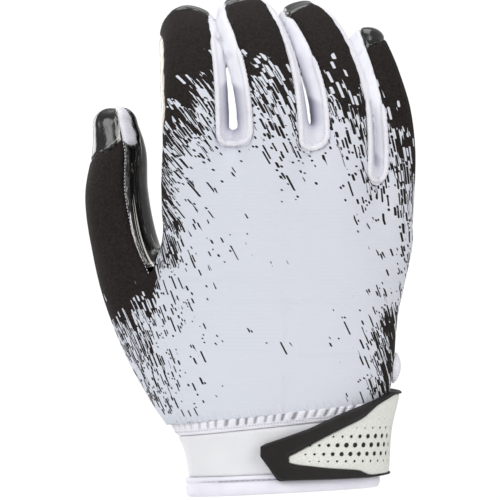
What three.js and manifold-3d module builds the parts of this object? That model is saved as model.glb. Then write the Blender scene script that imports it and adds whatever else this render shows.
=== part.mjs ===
// A receiver's glove for the right hand, standing as it is worn: fingers up, back of the hand towards -Y.
// Cloth back and print, gripping palm, side strips between the fingers, knitted cuff and a wrist strap.
// Millimetres, +Z up, +X towards the little finger. The origin is the centre of the opening for the hand.
import * as THREE from "three";
import { mergeVertices } from "three/addons/utils/BufferGeometryUtils.js";
import Module from "manifold-3d";

const wasm = await Module();
wasm.setup();

// Sizes of the hand
const HAND_WIDTH = 105; // across the knuckles
const HAND_DEPTH = 33; // through the hand above the thumb
const PALM_LENGTH = 115; // from the wrist seam to the gap between index and middle
const KNUCKLE_ARCH = 10; // how far the little finger's knuckle lies behind the middle one's
const KNUCKLE_DROP = 44; // how far the knuckle line falls at the little finger's edge
const SHELL_WALL = 1.5; // cloth of the back, the palm and the side strips

// Sizes of the cuff
const CUFF_WIDTH = 80;
const CUFF_DEPTH = 40;
const SEAM_HEIGHT = 28.4; // from the opening to the wrist seam, in the middle of the back
const SEAM_SLOPE = 6; // degrees, up towards the little finger
const SEAM_BAND_HEIGHT = 5.2; // elastic stitched over the wrist seam
const SEAM_BAND_WALL = 1.8;
const CUFF_WALL = 1.8;
const HEM_TOP = 6.6; // height of the hem's upper edge in the middle of the back
const HEM_HEIGHT = 8.2;
const HEM_SLOPE = 3; // degrees
const HEM_WALL = 2.8;
const HEM_PROUD = 0.5; // how far hem and seam band stand out of the cuff

// Sizes of the wrist strap
const STRAP_POINT = -14; // where its blunt point lies across the wrist
const STRAP_BOTTOM = 3.4; // height of its lower edge
const STRAP_HEIGHT = 36; // at the edge of the wrist
const STRAP_BACKING = 1.2; // thickness of the layer under the frame
const STRAP_FRAME = 2.2; // thickness of the moulded frame
const STRAP_PANEL = 1.2; // thickness of the pierced panel
const HOLE_PITCH = 3.6; // between the holes of the panel
const HOLE_WIDTH = 1.7; // of the largest holes

// Small parts
const BINDING_WIDTH = 2.6; // rolled edge round the gaps between the fingers
const TAB_WIDTH = 9;
const TAB_HEIGHT = 13;
const TAB_BOTTOM = 43.5; // above the opening
const TAB_THICKNESS = 2.4;
const GAP = 0.3; // clearance between neighbouring pieces

// How finely the rounds are divided
const HAND_SIDES = 20;
const DIGIT_SIDES = 11;
const DIGIT_STEPS = 4;
const LINING_SIDES = 8; // of the hollow of a digit
const HOLE_SIDES = 4;
const CORNER = 2.3; // exponent of the sections: 2 is an ellipse

// Cuff and hand in sections. up: height as a share of SEAM_HEIGHT for the cuff, and of PALM_LENGTH
// above the seam for the hand. side: centre, and width, as shares of CUFF_WIDTH or HAND_WIDTH.
// out: centre towards the palm, and depth, as shares of CUFF_DEPTH or HAND_DEPTH.
// arch: how much of the knuckles' arch and fall the section has.
const CUFF_SECTIONS = [
  { up: -0.35, side: -0.0625, out: 0, width: 1, depth: 1, arch: 0 },
  { up: 0.3, side: -0.0625, out: 0, width: 1, depth: 1, arch: 0 },
  { up: 0.58, side: -0.0706, out: 0, width: 1.024, depth: 1.01, arch: 0 },
  { up: 0.85, side: -0.095, out: 0, width: 1.09, depth: 1.04, arch: 0 },
];
const HAND_SECTIONS = [
  { up: 0.03, side: -0.082, out: 0, width: 0.888, depth: 1.29, arch: 0 },
  { up: 0.15, side: -0.074, out: -0.02, width: 0.938, depth: 1.33, arch: 0.05 },
  { up: 0.28, side: -0.074, out: -0.03, width: 0.95, depth: 1.3, arch: 0.15 },
  { up: 0.43, side: -0.064, out: -0.06, width: 0.962, depth: 1.18, arch: 0.3 },
  { up: 0.58, side: -0.048, out: -0.09, width: 0.972, depth: 1.06, arch: 0.5 },
  { up: 0.76, side: -0.037, out: -0.12, width: 0.962, depth: 0.9, arch: 0.8 },
  { up: 0.87, side: -0.036, out: -0.14, width: 0.956, depth: 0.74, arch: 0.95 },
  { up: 0.95, side: -0.03, out: -0.17, width: 0.94, depth: 0.52, arch: 1 },
  { up: 1, side: -0.022, out: -0.19, width: 0.9, depth: 0.24, arch: 1 },
];
const ARCH_APEX = -0.12; // the highest knuckle, as a share of HAND_WIDTH
const FALL_START = 0.08; // where the knuckle line starts to fall, as a share of HAND_WIDTH

// The digits, in sections from inside the hand to the start of the tip. side, out and up place the
// middle of a section, as shares of HAND_WIDTH, HAND_DEPTH and PALM_LENGTH above the wrist seam.
// roll turns the back towards the little finger, in degrees. width and depth are shares of the digit's.
const DIGITS = {
  thumb: {
    width: 27,
    depth: 25,
    sections: [
      { side: -0.33, out: 0.09, up: 0.07, roll: -14, width: 1.36, depth: 1.38 },
      { side: -0.45, out: 0.18, up: 0.174, roll: -20, width: 1.32, depth: 1.28 },
      { side: -0.545, out: 0.27, up: 0.296, roll: -26, width: 1.23, depth: 1.18 },
      { side: -0.63, out: 0.39, up: 0.461, roll: -34, width: 1.13, depth: 1.08 },
      { side: -0.688, out: 0.515, up: 0.635, roll: -40, width: 1.03, depth: 1 },
      { side: -0.716, out: 0.636, up: 0.809, roll: -44, width: 0.97, depth: 0.96 },
      { side: -0.71, out: 0.758, up: 0.957, roll: -46, width: 0.85, depth: 0.86 },
      { side: -0.724, out: 0.848, up: 1.061, roll: -46, width: 0.7, depth: 0.72 },
    ],
  },
  index: {
    width: 28.6,
    depth: 19,
    sections: [
      { side: -0.396, out: -0.12, up: 0.757, roll: -4, width: 0.9, depth: 0.95 },
      { side: -0.396, out: -0.15, up: 0.913, roll: -5, width: 0.97, depth: 1 },
      { side: -0.398, out: -0.09, up: 1.06, roll: -5, width: 1, depth: 1 },
      { side: -0.405, out: 0.15, up: 1.213, roll: -4, width: 0.99, depth: 1 },
      { side: -0.417, out: 0.515, up: 1.337, roll: -2, width: 0.94, depth: 1 },
      { side: -0.424, out: 0.91, up: 1.41, roll: 0, width: 0.87, depth: 0.95 },
      { side: -0.416, out: 1.24, up: 1.44, roll: 2, width: 0.74, depth: 0.84 },
    ],
  },
  middle: {
    width: 29.4,
    depth: 19.6,
    sections: [
      { side: -0.09, out: -0.21, up: 0.757, roll: 4, width: 0.9, depth: 0.95 },
      { side: -0.09, out: -0.24, up: 0.913, roll: 6, width: 0.98, depth: 1 },
      { side: -0.09, out: -0.18, up: 1.06, roll: 9, width: 1, depth: 1 },
      { side: -0.114, out: 0.06, up: 1.221, roll: 13, width: 1, depth: 1 },
      { side: -0.157, out: 0.455, up: 1.362, roll: 17, width: 0.98, depth: 1 },
      { side: -0.193, out: 0.88, up: 1.443, roll: 19, width: 0.9, depth: 0.95 },
      { side: -0.21, out: 1.24, up: 1.479, roll: 19, width: 0.76, depth: 0.84 },
    ],
  },
  ring: {
    width: 25.8,
    depth: 18.6,
    sections: [
      { side: 0.19, out: -0.09, up: 0.678, roll: 12, width: 0.9, depth: 0.95 },
      { side: 0.192, out: -0.12, up: 0.852, roll: 15, width: 0.98, depth: 1 },
      { side: 0.192, out: -0.06, up: 1.009, roll: 18, width: 1, depth: 1 },
      { side: 0.173, out: 0.14, up: 1.169, roll: 22, width: 1.01, depth: 1 },
      { side: 0.121, out: 0.48, up: 1.322, roll: 25, width: 0.99, depth: 1 },
      { side: 0.067, out: 0.87, up: 1.421, roll: 26, width: 0.9, depth: 0.95 },
      { side: 0.03, out: 1.18, up: 1.461, roll: 26, width: 0.76, depth: 0.84 },
    ],
  },
  little: {
    width: 20.4,
    depth: 17.6,
    sections: [
      { side: 0.325, out: 0, up: 0.487, roll: 24, width: 0.78, depth: 0.86 },
      { side: 0.37, out: 0.03, up: 0.652, roll: 28, width: 0.96, depth: 1 },
      { side: 0.382, out: 0.09, up: 0.809, roll: 31, width: 1, depth: 1 },
      { side: 0.386, out: 0.18, up: 0.965, roll: 34, width: 1, depth: 1 },
      { side: 0.37, out: 0.32, up: 1.121, roll: 36, width: 0.98, depth: 1 },
      { side: 0.333, out: 0.52, up: 1.254, roll: 36, width: 0.9, depth: 0.95 },
      { side: 0.293, out: 0.73, up: 1.36, roll: 36, width: 0.76, depth: 0.84 },
    ],
  },
};
const TIP_REACH = 0.95; // how far a tip rounds out past its last section, as a share of its half depth

// Where the panels meet round a section, in degrees from the middle of the back, and along a digit as
// shares of its path
const BACK_EDGE = 42; // edge of the back beside a gap between fingers
const PALM_EDGE = 138; // edge of the palm there
const OUTER_EDGE = 100; // where back and palm meet on the outer sides
const BACK_END = 0.93; // the palm wraps over the tip from here
const STRIP_END = 1;
const THUMB_BACK_END = 0.88;
const THUMB_STRIP_START = 0.76;
const THUMB_PALM_START = 0.46;
const WEDGE_REACH = 1.32; // the solids that cut the panels out reach this far past the wall

// The gaps between fingers. Shares of each finger's path where its side strip starts at the bottom of
// the gap, and where the rolled edge ends above it.
const FINGER_GAPS = [
  { left: "index", right: "middle", leftStart: 0.22, rightStart: 0.22, leftEnd: 0.6, rightEnd: 0.56 },
  { left: "middle", right: "ring", leftStart: 0.2, rightStart: 0.27, leftEnd: 0.56, rightEnd: 0.58 },
  { left: "ring", right: "little", leftStart: 0.14, rightStart: 0.34, leftEnd: 0.42, rightEnd: 0.62 },
];

// The strap's outline. across: 0 at its point, 1 at the wrist's edge, 2 mirrored on the palm side.
// low and high are shares of STRAP_HEIGHT above STRAP_BOTTOM.
const STRAP_OUTLINE = [
  { across: 0, low: 0.31, high: 0.39 },
  { across: 0.03, low: 0.23, high: 0.43 },
  { across: 0.137, low: 0, high: 0.48 },
  { across: 0.39, low: 0.01, high: 0.61 },
  { across: 0.63, low: 0.02, high: 0.78 },
  { across: 0.86, low: 0.03, high: 0.93 },
  { across: 0.96, low: 0.05, high: 1.02 },
  { across: 1.05, low: 0.06, high: 1.05 },
  { across: 1.3, low: 0.07, high: 0.89 },
  { across: 1.7, low: 0.08, high: 0.64 },
];
const PANEL_OUTLINE = [
  { across: 0.22, low: 0.22, high: 0.28 },
  { across: 0.25, low: 0.19, high: 0.31 },
  { across: 0.54, low: 0.14, high: 0.55 },
  { across: 0.81, low: 0.115, high: 0.76 },
  { across: 0.85, low: 0.07, high: 0.84 },
  { across: 0.96, low: 0.09, high: 0.97 },
  { across: 1.05, low: 0.1, high: 0.99 },
  { across: 1.3, low: 0.12, high: 0.83 },
  { across: 1.6, low: 0.14, high: 0.6 },
];
// Rows of holes in the panel. height above STRAP_BOTTOM, first and last across, as in the outline.
const HOLE_ROWS = [
  { height: 0.21, first: 0.32, last: 0.88, size: 0.7 },
  { height: 0.29, first: 0.3, last: 1.0, size: 1 },
  { height: 0.39, first: 0.35, last: 0.97, size: 1 },
  { height: 0.49, first: 0.52, last: 1.0, size: 1 },
  { height: 0.59, first: 0.68, last: 0.97, size: 0.9 },
];

const radians = THREE.MathUtils.degToRad;
const lerp = THREE.MathUtils.lerp;
const curve = (t) => Math.sign(t) * Math.abs(t) ** (2 / CORNER);

// Value of each column at a place in a table, straight between its rows.
function between(rows, key, place) {
  const found = rows.findIndex((row) => row[key] >= place);
  const index = found < 0 ? rows.length - 1 : Math.max(1, found);
  const low = rows[index - 1];
  const high = rows[index];
  const share = (place - low[key]) / (high[key] - low[key]);
  return Object.fromEntries(Object.keys(high).map((k) => [k, lerp(low[k], high[k], share)]));
}

// Sections of cuff and hand in millimetres, from below the opening up to the knuckles.
const inMillimetres = (row, start, height, across, through) => ({
  z: start + row.up * height,
  x: row.side * across,
  y: row.out * through,
  a: (row.width * across) / 2,
  b: (row.depth * through) / 2,
  arch: row.arch,
});
const SLEEVE = [
  ...CUFF_SECTIONS.map((row) => inMillimetres(row, 0, SEAM_HEIGHT, CUFF_WIDTH, CUFF_DEPTH)),
  ...HAND_SECTIONS.map((row) => inMillimetres(row, SEAM_HEIGHT, PALM_LENGTH, HAND_WIDTH, HAND_DEPTH)),
];

// A point of the sleeve: angle from the middle of the back towards the little finger, grow outwards.
// The knuckles bend it: the edges lie further back, and the line of knuckles falls towards the little finger.
function sleevePoint(section, angle, grow, reach = 1) {
  const u = (section.a + grow) * reach * curve(Math.sin(angle));
  const v = (section.b + grow) * reach * curve(Math.cos(angle));
  const x = section.x + u;
  const bend = (x / HAND_WIDTH - ARCH_APEX) / (0.5 - ARCH_APEX);
  const fall = Math.max(0, (x / HAND_WIDTH - FALL_START) / (0.5 - FALL_START));
  const y = section.y - v + section.arch * KNUCKLE_ARCH * bend * bend;
  const z = section.z - section.arch ** 3 * KNUCKLE_DROP * Math.min(fall, 1) ** 2;
  return new THREE.Vector3(x, y, z);
}

// Sections of a digit from one share of its path to another. Each is square to the path.
function digitSections(digit, grow, from, to, steps) {
  const place = (row) =>
    new THREE.Vector3(row.side * HAND_WIDTH, row.out * HAND_DEPTH, SEAM_HEIGHT + row.up * PALM_LENGTH);
  const path = new THREE.CatmullRomCurve3(digit.sections.map(place), false, "centripetal");
  const rows = digit.sections.map((row, i) => ({ ...row, at: i / (digit.sections.length - 1) }));
  return Array.from({ length: steps + 1 }, (_, i) => {
    const share = THREE.MathUtils.clamp(lerp(from, to, i / steps), 0, 1);
    const row = between(rows, "at", share);
    const along = path.getTangent(share);
    const viewer = new THREE.Vector3(0, -1, 0);
    const front = viewer.addScaledVector(along, -viewer.dot(along)).normalize();
    const across = along.clone().cross(front);
    const roll = radians(row.roll);
    return {
      centre: path.getPoint(share),
      along,
      back: front.clone().multiplyScalar(Math.cos(roll)).addScaledVector(across, Math.sin(roll)),
      side: across.clone().multiplyScalar(Math.cos(roll)).addScaledVector(front, -Math.sin(roll)),
      a: (row.width * digit.width) / 2 + grow,
      b: (row.depth * digit.depth) / 2 + grow,
    };
  });
}

// Rings past the last section that round the tip off.
function tipSections(last) {
  return [40, 72].map((degrees) => ({
    ...last,
    centre: last.centre
      .clone()
      .addScaledVector(last.along, Math.sin(radians(degrees)) * TIP_REACH * last.b),
    a: last.a * Math.cos(radians(degrees)),
    b: last.b * Math.cos(radians(degrees)),
  }));
}

function digitPoint(section, angle, reach = 1) {
  return section.centre
    .clone()
    .addScaledVector(section.side, section.a * reach * curve(Math.sin(angle)))
    .addScaledVector(section.back, section.b * reach * curve(Math.cos(angle)));
}

// Solids from geometry and back.
function solidOf(geometry) {
  const bare = new THREE.BufferGeometry().setAttribute("position", geometry.getAttribute("position"));
  if (geometry.index) bare.setIndex(geometry.index);
  const merged = mergeVertices(bare, 1e-4);
  const mesh = new wasm.Mesh({
    numProp: 3,
    vertProperties: new Float32Array(merged.attributes.position.array),
    triVerts: new Uint32Array(merged.index.array),
  });
  return new wasm.Manifold(mesh);
}

function geometryOf(solid) {
  const mesh = solid.getMesh();
  const geometry = new THREE.BufferGeometry();
  geometry.setAttribute("position", new THREE.BufferAttribute(mesh.vertProperties, mesh.numProp));
  geometry.setIndex(new THREE.BufferAttribute(mesh.triVerts, 1));
  geometry.computeVertexNormals();
  return geometry;
}

// A closed solid through rings of equally many points. Each end is a fan from the middle of its ring,
// or from the ring's first point.
function loft(rings, fromMiddle = true) {
  const count = rings[0].length;
  const points = fromMiddle ? [...rings.flat(), meanPoint(rings[0]), meanPoint(rings.at(-1))] : rings.flat();
  const faces = [];
  for (let i = 0; i + 1 < rings.length; i++) {
    for (let j = 0; j < count; j++) {
      const a = i * count + j;
      const b = i * count + ((j + 1) % count);
      faces.push(a, b, b + count, a, b + count, a + count);
    }
  }
  const start = rings.length * count;
  const last = (rings.length - 1) * count;
  for (let j = 0; fromMiddle && j < count; j++) {
    const next = (j + 1) % count;
    faces.push(start, next, j, start + 1, last + j, last + next);
  }
  for (let j = 1; !fromMiddle && j + 1 < count; j++) {
    faces.push(0, j + 1, j, last, last + j, last + j + 1);
  }
  const geometry = new THREE.BufferGeometry().setFromPoints(points).setIndex(faces);
  const solid = solidOf(geometry);
  return solid.volume() < 0 ? solidOf(geometry.setIndex(faces.reverse())) : solid;
}

function meanPoint(ring) {
  return ring.reduce((sum, p) => sum.add(p), new THREE.Vector3()).divideScalar(ring.length);
}

const turns = (sides) => Array.from({ length: sides }, (_, i) => (2 * Math.PI * i) / sides);

function sleeveSolid(grow) {
  const rings = SLEEVE.map((s) => turns(HAND_SIDES).map((angle) => sleevePoint(s, angle, grow)));
  rings[rings.length - 1].forEach((p) => p.setZ(p.z + grow));
  return loft(rings);
}

function digitSolid(digit, grow, sides = DIGIT_SIDES) {
  const sections = digitSections(digit, grow, 0, 1, DIGIT_STEPS);
  const all = [...sections, ...tipSections(sections[sections.length - 1])];
  const rings = all.map((s) => turns(sides).map((angle) => digitPoint(s, angle)));
  return loft(rings);
}

// Angles from one to another in even steps, with one more beyond each end where there is a clearance.
function arcAngles(from, to, step, extra) {
  const count = Math.max(2, Math.ceil((to - from) / step));
  const even = Array.from({ length: count + 1 }, (_, i) => radians(lerp(from, to, i / count)));
  return extra ? [even[0] - extra, ...even, even[count] + extra] : even;
}

// A wedge that cuts a panel out of a digit's wall: from one angle to another round its sections.
function digitWedge(digit, fromAngle, toAngle, from, to, spare = 0) {
  const extra = spare / (digit.width / 2);
  const angles = arcAngles(fromAngle, toAngle, 18, extra);
  const ringOf = (s) => [
    s.centre,
    ...angles.map((angle) => digitPoint(s, angle, WEDGE_REACH + extra)),
  ];
  const sections = digitSections(digit, 0, from, to, DIGIT_STEPS);
  return loft((spare ? lengthened(sections, spare) : sections).map(ringOf), false);
}

// The same sections with one more beyond each end.
function lengthened(sections, spare, reach = 0) {
  const moved = (s, by) => ({ ...s, centre: s.centre.clone().addScaledVector(s.along, by) });
  const first = spare ? [moved(sections[0], -spare)] : [];
  return [...first, ...sections, moved(sections[sections.length - 1], spare + reach)];
}

function sleeveWedge(edge, spare) {
  const extra = spare / (HAND_DEPTH / 2);
  const angles = arcAngles(-edge, edge, 10, extra);
  const top = { ...SLEEVE.at(-1), z: SLEEVE.at(-1).z + HAND_DEPTH / 8 + spare };
  const rings = [...SLEEVE, top].map((s) => [
    sleevePoint({ ...s, a: 0.01, b: 0.01 }, 0, 0),
    ...angles.map((angle) => sleevePoint(s, angle, 0, WEDGE_REACH + extra)),
  ]);
  return loft(rings, false);
}

// Everything between two sloping planes, given by their heights in the middle of the back.
function slab(low, high, slopeLow, slopeHigh = slopeLow) {
  const half = 2 * HAND_WIDTH;
  const rise = (slope) => half * Math.tan(radians(slope));
  const corner = (x, y, z) => new THREE.Vector3(x, y, z);
  const ring = (z, slope) => [
    corner(-half, -half, z - rise(slope)),
    corner(half, -half, z + rise(slope)),
    corner(half, half, z + rise(slope)),
    corner(-half, half, z - rise(slope)),
  ];
  const rings = [ring(low, slopeLow), ring(high, slopeHigh)];
  return loft(rings);
}

// The largest body of a cut, without the crumbs that a cut can leave beside it.
function mainBody(solid) {
  return solid.decompose().reduce((best, body) => (body.volume() > best.volume() ? body : best));
}

// The whole wall of hand and digits, before it is cut into panels.
const digits = Object.values(DIGITS);
const above = slab(
  SEAM_HEIGHT + SEAM_BAND_HEIGHT / 2,
  3 * PALM_LENGTH,
  SEAM_SLOPE,
  0,
);
const outside = (grow) =>
  digits.reduce((all, d) => all.add(digitSolid(d, grow)), sleeveSolid(grow));
const hollow = digits.reduce(
  (all, d) => all.add(digitSolid(d, -SHELL_WALL, LINING_SIDES)),
  sleeveSolid(-SHELL_WALL),
);
const wall = outside(0).subtract(hollow).intersect(above);

// Panels. Each is cut from what the ones before it leave, and they take a clearance with them.
const edges = {
  thumb: { left: OUTER_EDGE, right: BACK_EDGE + 20, end: THUMB_BACK_END },
  index: { left: OUTER_EDGE, right: BACK_EDGE + 10, end: BACK_END },
  middle: { left: BACK_EDGE + 10, right: BACK_EDGE + 10, end: BACK_END },
  ring: { left: BACK_EDGE + 10, right: BACK_EDGE + 10, end: BACK_END },
  little: { left: BACK_EDGE + 10, right: OUTER_EDGE, end: BACK_END },
};

function backRegion(spare) {
  return Object.entries(edges).reduce(
    (all, [name, edge]) =>
      all.add(digitWedge(DIGITS[name], -edge.left, edge.right, 0, edge.end, spare)),
    sleeveWedge(OUTER_EDGE, spare),
  );
}

function stripRegion(gap, spare) {
  const left = DIGITS[gap.left];
  const right = DIGITS[gap.right];
  return digitWedge(left, BACK_EDGE, PALM_EDGE, gap.leftStart, STRIP_END, spare).add(
    digitWedge(right, -PALM_EDGE, -BACK_EDGE, gap.rightStart, STRIP_END, spare),
  );
}

function thumbStripRegion(spare) {
  return digitWedge(DIGITS.thumb, BACK_EDGE, PALM_EDGE, THUMB_STRIP_START, 1, spare);
}

function thumbPalmRegion(spare) {
  const sections = digitSections(DIGITS.thumb, 0, THUMB_PALM_START, 1, DIGIT_STEPS);
  const ringOf = (s) => turns(DIGIT_SIDES).map((angle) => digitPoint(s, angle, WEDGE_REACH * 1.15));
  const rings = lengthened(sections, spare, DIGITS.thumb.depth).map(ringOf);
  return loft(rings);
}

let rest = wall;
const cut = (region) => {
  const piece = mainBody(rest.intersect(region(0)));
  rest = rest.subtract(region(GAP)).subtract(region(0));
  return piece;
};
const strips = FINGER_GAPS.map((gap) => cut((spare) => stripRegion(gap, spare)));
const thumbStrip = cut(thumbStripRegion);
const backShell = cut(backRegion);
const thumbPalm = cut(thumbPalmRegion);
const palm = mainBody(rest);

// A tube of round section through points.
function tube(points, radius, sides) {
  const path = new THREE.CatmullRomCurve3(points);
  const round = turns(sides).map((t) => new THREE.Vector2(Math.cos(t), Math.sin(t)).multiplyScalar(radius));
  const shape = new THREE.Shape(round);
  const steps = Math.ceil(points.length * 1.5);
  return solidOf(new THREE.ExtrudeGeometry(shape, { steps, extrudePath: path, bevelEnabled: false }));
}

// Rolled edge: down one finger's side, round the bottom of the gap and up the next finger's side.
function binding(gap) {
  const edgeAt = (digit, angle, start, end) =>
    [0, 1, 2, 3].map((i) => {
      const share = lerp(start + 0.05, end, i / 3);
      const [section] = digitSections(digit, 0.3 * BINDING_WIDTH, share, share, 1);
      return digitPoint(section, radians(angle));
    });
  const down = edgeAt(DIGITS[gap.left], BACK_EDGE, gap.leftStart, gap.leftEnd).reverse();
  const up = edgeAt(DIGITS[gap.right], -BACK_EDGE, gap.rightStart, gap.rightEnd);
  const bottom = down[3].clone().lerp(up[0], 0.5);
  bottom.z = Math.min(down[3].z, up[0].z) - 2 * BINDING_WIDTH;
  const roll = tube([...down, bottom, ...up], BINDING_WIDTH / 2, 6);
  return mainBody(roll.subtract(outside(GAP)).subtract(outside(0)));
}

// Cuff: band, elastic over the wrist seam, and hem.
const seamLow = SEAM_HEIGHT - SEAM_BAND_HEIGHT / 2;
const seamHigh = SEAM_HEIGHT + SEAM_BAND_HEIGHT / 2;
const cuffRing = (outer, inner, low, high, slopeLow, slopeHigh) =>
  sleeveSolid(outer).subtract(sleeveSolid(inner)).intersect(slab(low, high, slopeLow, slopeHigh));
const cuffBand = cuffRing(0, -CUFF_WALL, HEM_TOP + GAP, seamLow - GAP, HEM_SLOPE, SEAM_SLOPE);
const seamInner = HEM_PROUD - SEAM_BAND_WALL;
const seamBand = cuffRing(HEM_PROUD, seamInner, seamLow, seamHigh - GAP, SEAM_SLOPE, SEAM_SLOPE);
const hem = cuffRing(HEM_PROUD, HEM_PROUD - HEM_WALL, HEM_TOP - HEM_HEIGHT, HEM_TOP, HEM_SLOPE, HEM_SLOPE);

// A point over the cuff: across as in the strap's outline, height above the opening, out from the cloth.
function strapPoint(across, height, out) {
  const section = between(SLEEVE, "z", height);
  const mirrored = across > 1 ? 2 - across : across;
  const share = (lerp(STRAP_POINT, section.x + section.a, mirrored) - section.x) / section.a;
  const angle = Math.asin(Math.sign(share) * Math.abs(share) ** (CORNER / 2));
  return sleevePoint(section, across > 1 ? Math.PI - angle : angle, out);
}

// A curved plate over the cuff with the outline of a table, between two heights over the cloth.
function strapPlate(outline, inner, outer, spare = 0) {
  const first = outline[0].across;
  const last = outline[outline.length - 1].across;
  const turn = (across) => (across > 1 ? Math.PI - Math.asin(2 - across) : Math.asin(across));
  const regular = turns(28).filter((t) => t > turn(first + 0.04) && t < turn(last) - 0.02);
  const even = [turn(first), ...regular, turn(last)];
  const places = even.map((t) => (t > Math.PI / 2 ? 2 - Math.sin(t) : Math.sin(t)));
  places.splice(1, 0, first + 0.03);
  places[0] -= spare / STRAP_HEIGHT;
  places[places.length - 1] += spare / STRAP_HEIGHT;
  const rings = places.map((across) => {
    const row = between(outline, "across", Math.min(Math.max(across, first), last));
    const low = STRAP_BOTTOM + row.low * STRAP_HEIGHT - spare;
    const high = STRAP_BOTTOM + row.high * STRAP_HEIGHT + spare;
    const kept = (place, i) => THREE.MathUtils.clamp(place.z, low + i + 1, high + i - 2);
    const creases = SLEEVE.slice(3, 5).map(kept);
    const rise = [low, ...creases, high];
    return [
      ...rise.map((height) => strapPoint(across, height, inner)),
      ...rise.reverse().map((height) => strapPoint(across, height, outer)),
    ];
  });
  return loft(rings);
}

// The holes of the panel, in rows that stand between those of the next row.
function panelHoles(out) {
  const span = CUFF_WIDTH / 2 - STRAP_POINT;
  return HOLE_ROWS.flatMap((row, index) => {
    const count = Math.floor(((row.last - row.first) * span) / HOLE_PITCH);
    return Array.from({ length: count }, (_, i) => {
      const across = row.last - ((i + (index % 2) / 2) * HOLE_PITCH) / span;
      const height = STRAP_BOTTOM + row.height * STRAP_HEIGHT;
      const centre = strapPoint(across, height, out);
      const outward = strapPoint(across, height, out + 1).sub(centre).normalize();
      const radius = (row.size * HOLE_WIDTH) / 2;
      const hole = new THREE.CylinderGeometry(radius, radius, 4 * STRAP_PANEL, HOLE_SIDES);
      hole.applyQuaternion(new THREE.Quaternion().setFromUnitVectors(new THREE.Vector3(0, 1, 0), outward));
      return solidOf(hole.translate(centre.x, centre.y, centre.z));
    });
  });
}

const backingIn = HEM_PROUD + 3 * GAP;
const frameIn = backingIn + STRAP_BACKING + GAP;
const strapBacking = strapPlate(STRAP_OUTLINE, backingIn, frameIn - GAP);
const strapFrame = strapPlate(STRAP_OUTLINE, frameIn, frameIn + STRAP_FRAME).subtract(
  strapPlate(PANEL_OUTLINE, frameIn - 1, frameIn + STRAP_FRAME + 1, GAP),
);
const strapPanel = panelHoles(frameIn + STRAP_PANEL / 2).reduce(
  (panel, hole) => panel.subtract(hole),
  strapPlate(PANEL_OUTLINE, frameIn, frameIn + STRAP_PANEL),
);

// The tab on the little finger's side, over the strap: a pad that swells out of the edge of the hand.
const tabRings = [0.02, 0.2, 0.5, 0.8, 0.98].map((up) => {
  const section = between(SLEEVE, "z", TAB_BOTTOM + up * TAB_HEIGHT);
  const half = (TAB_WIDTH / 2 / section.b) * Math.sin(Math.PI * up) ** 0.5;
  const swell = GAP + 0.4 + TAB_THICKNESS * Math.sin(Math.PI * up);
  const angles = [-1, -0.5, 0, 0.5, 1].map((share) => Math.PI / 2 + share * half);
  return [
    ...angles.map((angle) => sleevePoint(section, angle, GAP)),
    ...angles.reverse().map((angle) => sleevePoint(section, angle, swell)),
  ];
});
const sideTab = loft(tabRings);

const group = new THREE.Group();
group.name = "receiver_glove";
const materials = {
  cloth: new THREE.MeshStandardMaterial({ color: 0xe6e9ef, roughness: 0.85, metalness: 0 }),
  knit: new THREE.MeshStandardMaterial({ color: 0xf2f2f6, roughness: 0.9, metalness: 0 }),
  grip: new THREE.MeshStandardMaterial({ color: 0x161412, roughness: 0.18, metalness: 0 }),
  moulded: new THREE.MeshStandardMaterial({ color: 0x2a2725, roughness: 0.45, metalness: 0 }),
  panel: new THREE.MeshStandardMaterial({ color: 0xdde0d8, roughness: 0.6, metalness: 0 }),
};

function addPiece(name, solid, material) {
  const mesh = new THREE.Mesh(geometryOf(solid), materials[material]);
  mesh.name = name;
  group.add(mesh);
}

addPiece("back_shell", backShell, "cloth");
addPiece("palm", palm, "grip");
addPiece("thumb_palm", thumbPalm, "grip");
addPiece("thumb_side_strip", thumbStrip, "knit");
FINGER_GAPS.forEach((gap, i) => {
  addPiece(`side_strip_${gap.left}_${gap.right}`, strips[i], "knit");
  addPiece(`gap_binding_${gap.left}_${gap.right}`, binding(gap), "knit");
});
addPiece("cuff_band", cuffBand, "knit");
addPiece("wrist_seam_band", seamBand, "knit");
addPiece("hem", hem, "knit");
addPiece("strap_backing", strapBacking, "moulded");
addPiece("strap_frame", strapFrame, "moulded");
addPiece("strap_panel", strapPanel, "panel");
addPiece("side_tab", sideTab, "knit");

export default group;
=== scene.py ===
"""Looks of a right-hand receiver's glove, standing as it is worn, back of the hand towards -Y.

The hand and its digits are one smooth body, worked out as a distance in millimetres. It is turned into a
mesh, cut along the seams into the panels that the real glove is sewn from, and each panel gets its relief,
its thickness and its cloth. Cuff, hem, strap and piping are profiles carried round the same body.
"""

import math

import bmesh
import bpy
import numpy as np
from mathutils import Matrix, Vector


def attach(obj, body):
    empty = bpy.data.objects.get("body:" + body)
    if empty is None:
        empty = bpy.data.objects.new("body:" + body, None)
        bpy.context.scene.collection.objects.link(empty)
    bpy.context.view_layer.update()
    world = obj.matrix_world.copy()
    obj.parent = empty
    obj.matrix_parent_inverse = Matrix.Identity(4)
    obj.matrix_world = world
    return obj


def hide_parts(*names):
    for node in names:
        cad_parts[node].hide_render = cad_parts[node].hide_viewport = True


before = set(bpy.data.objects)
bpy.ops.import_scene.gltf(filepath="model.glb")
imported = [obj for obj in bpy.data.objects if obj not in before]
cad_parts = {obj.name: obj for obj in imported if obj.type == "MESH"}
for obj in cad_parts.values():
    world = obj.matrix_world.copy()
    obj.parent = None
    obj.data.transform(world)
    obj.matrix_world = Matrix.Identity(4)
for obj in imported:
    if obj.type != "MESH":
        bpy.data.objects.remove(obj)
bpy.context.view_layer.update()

MM = 0.001

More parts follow.
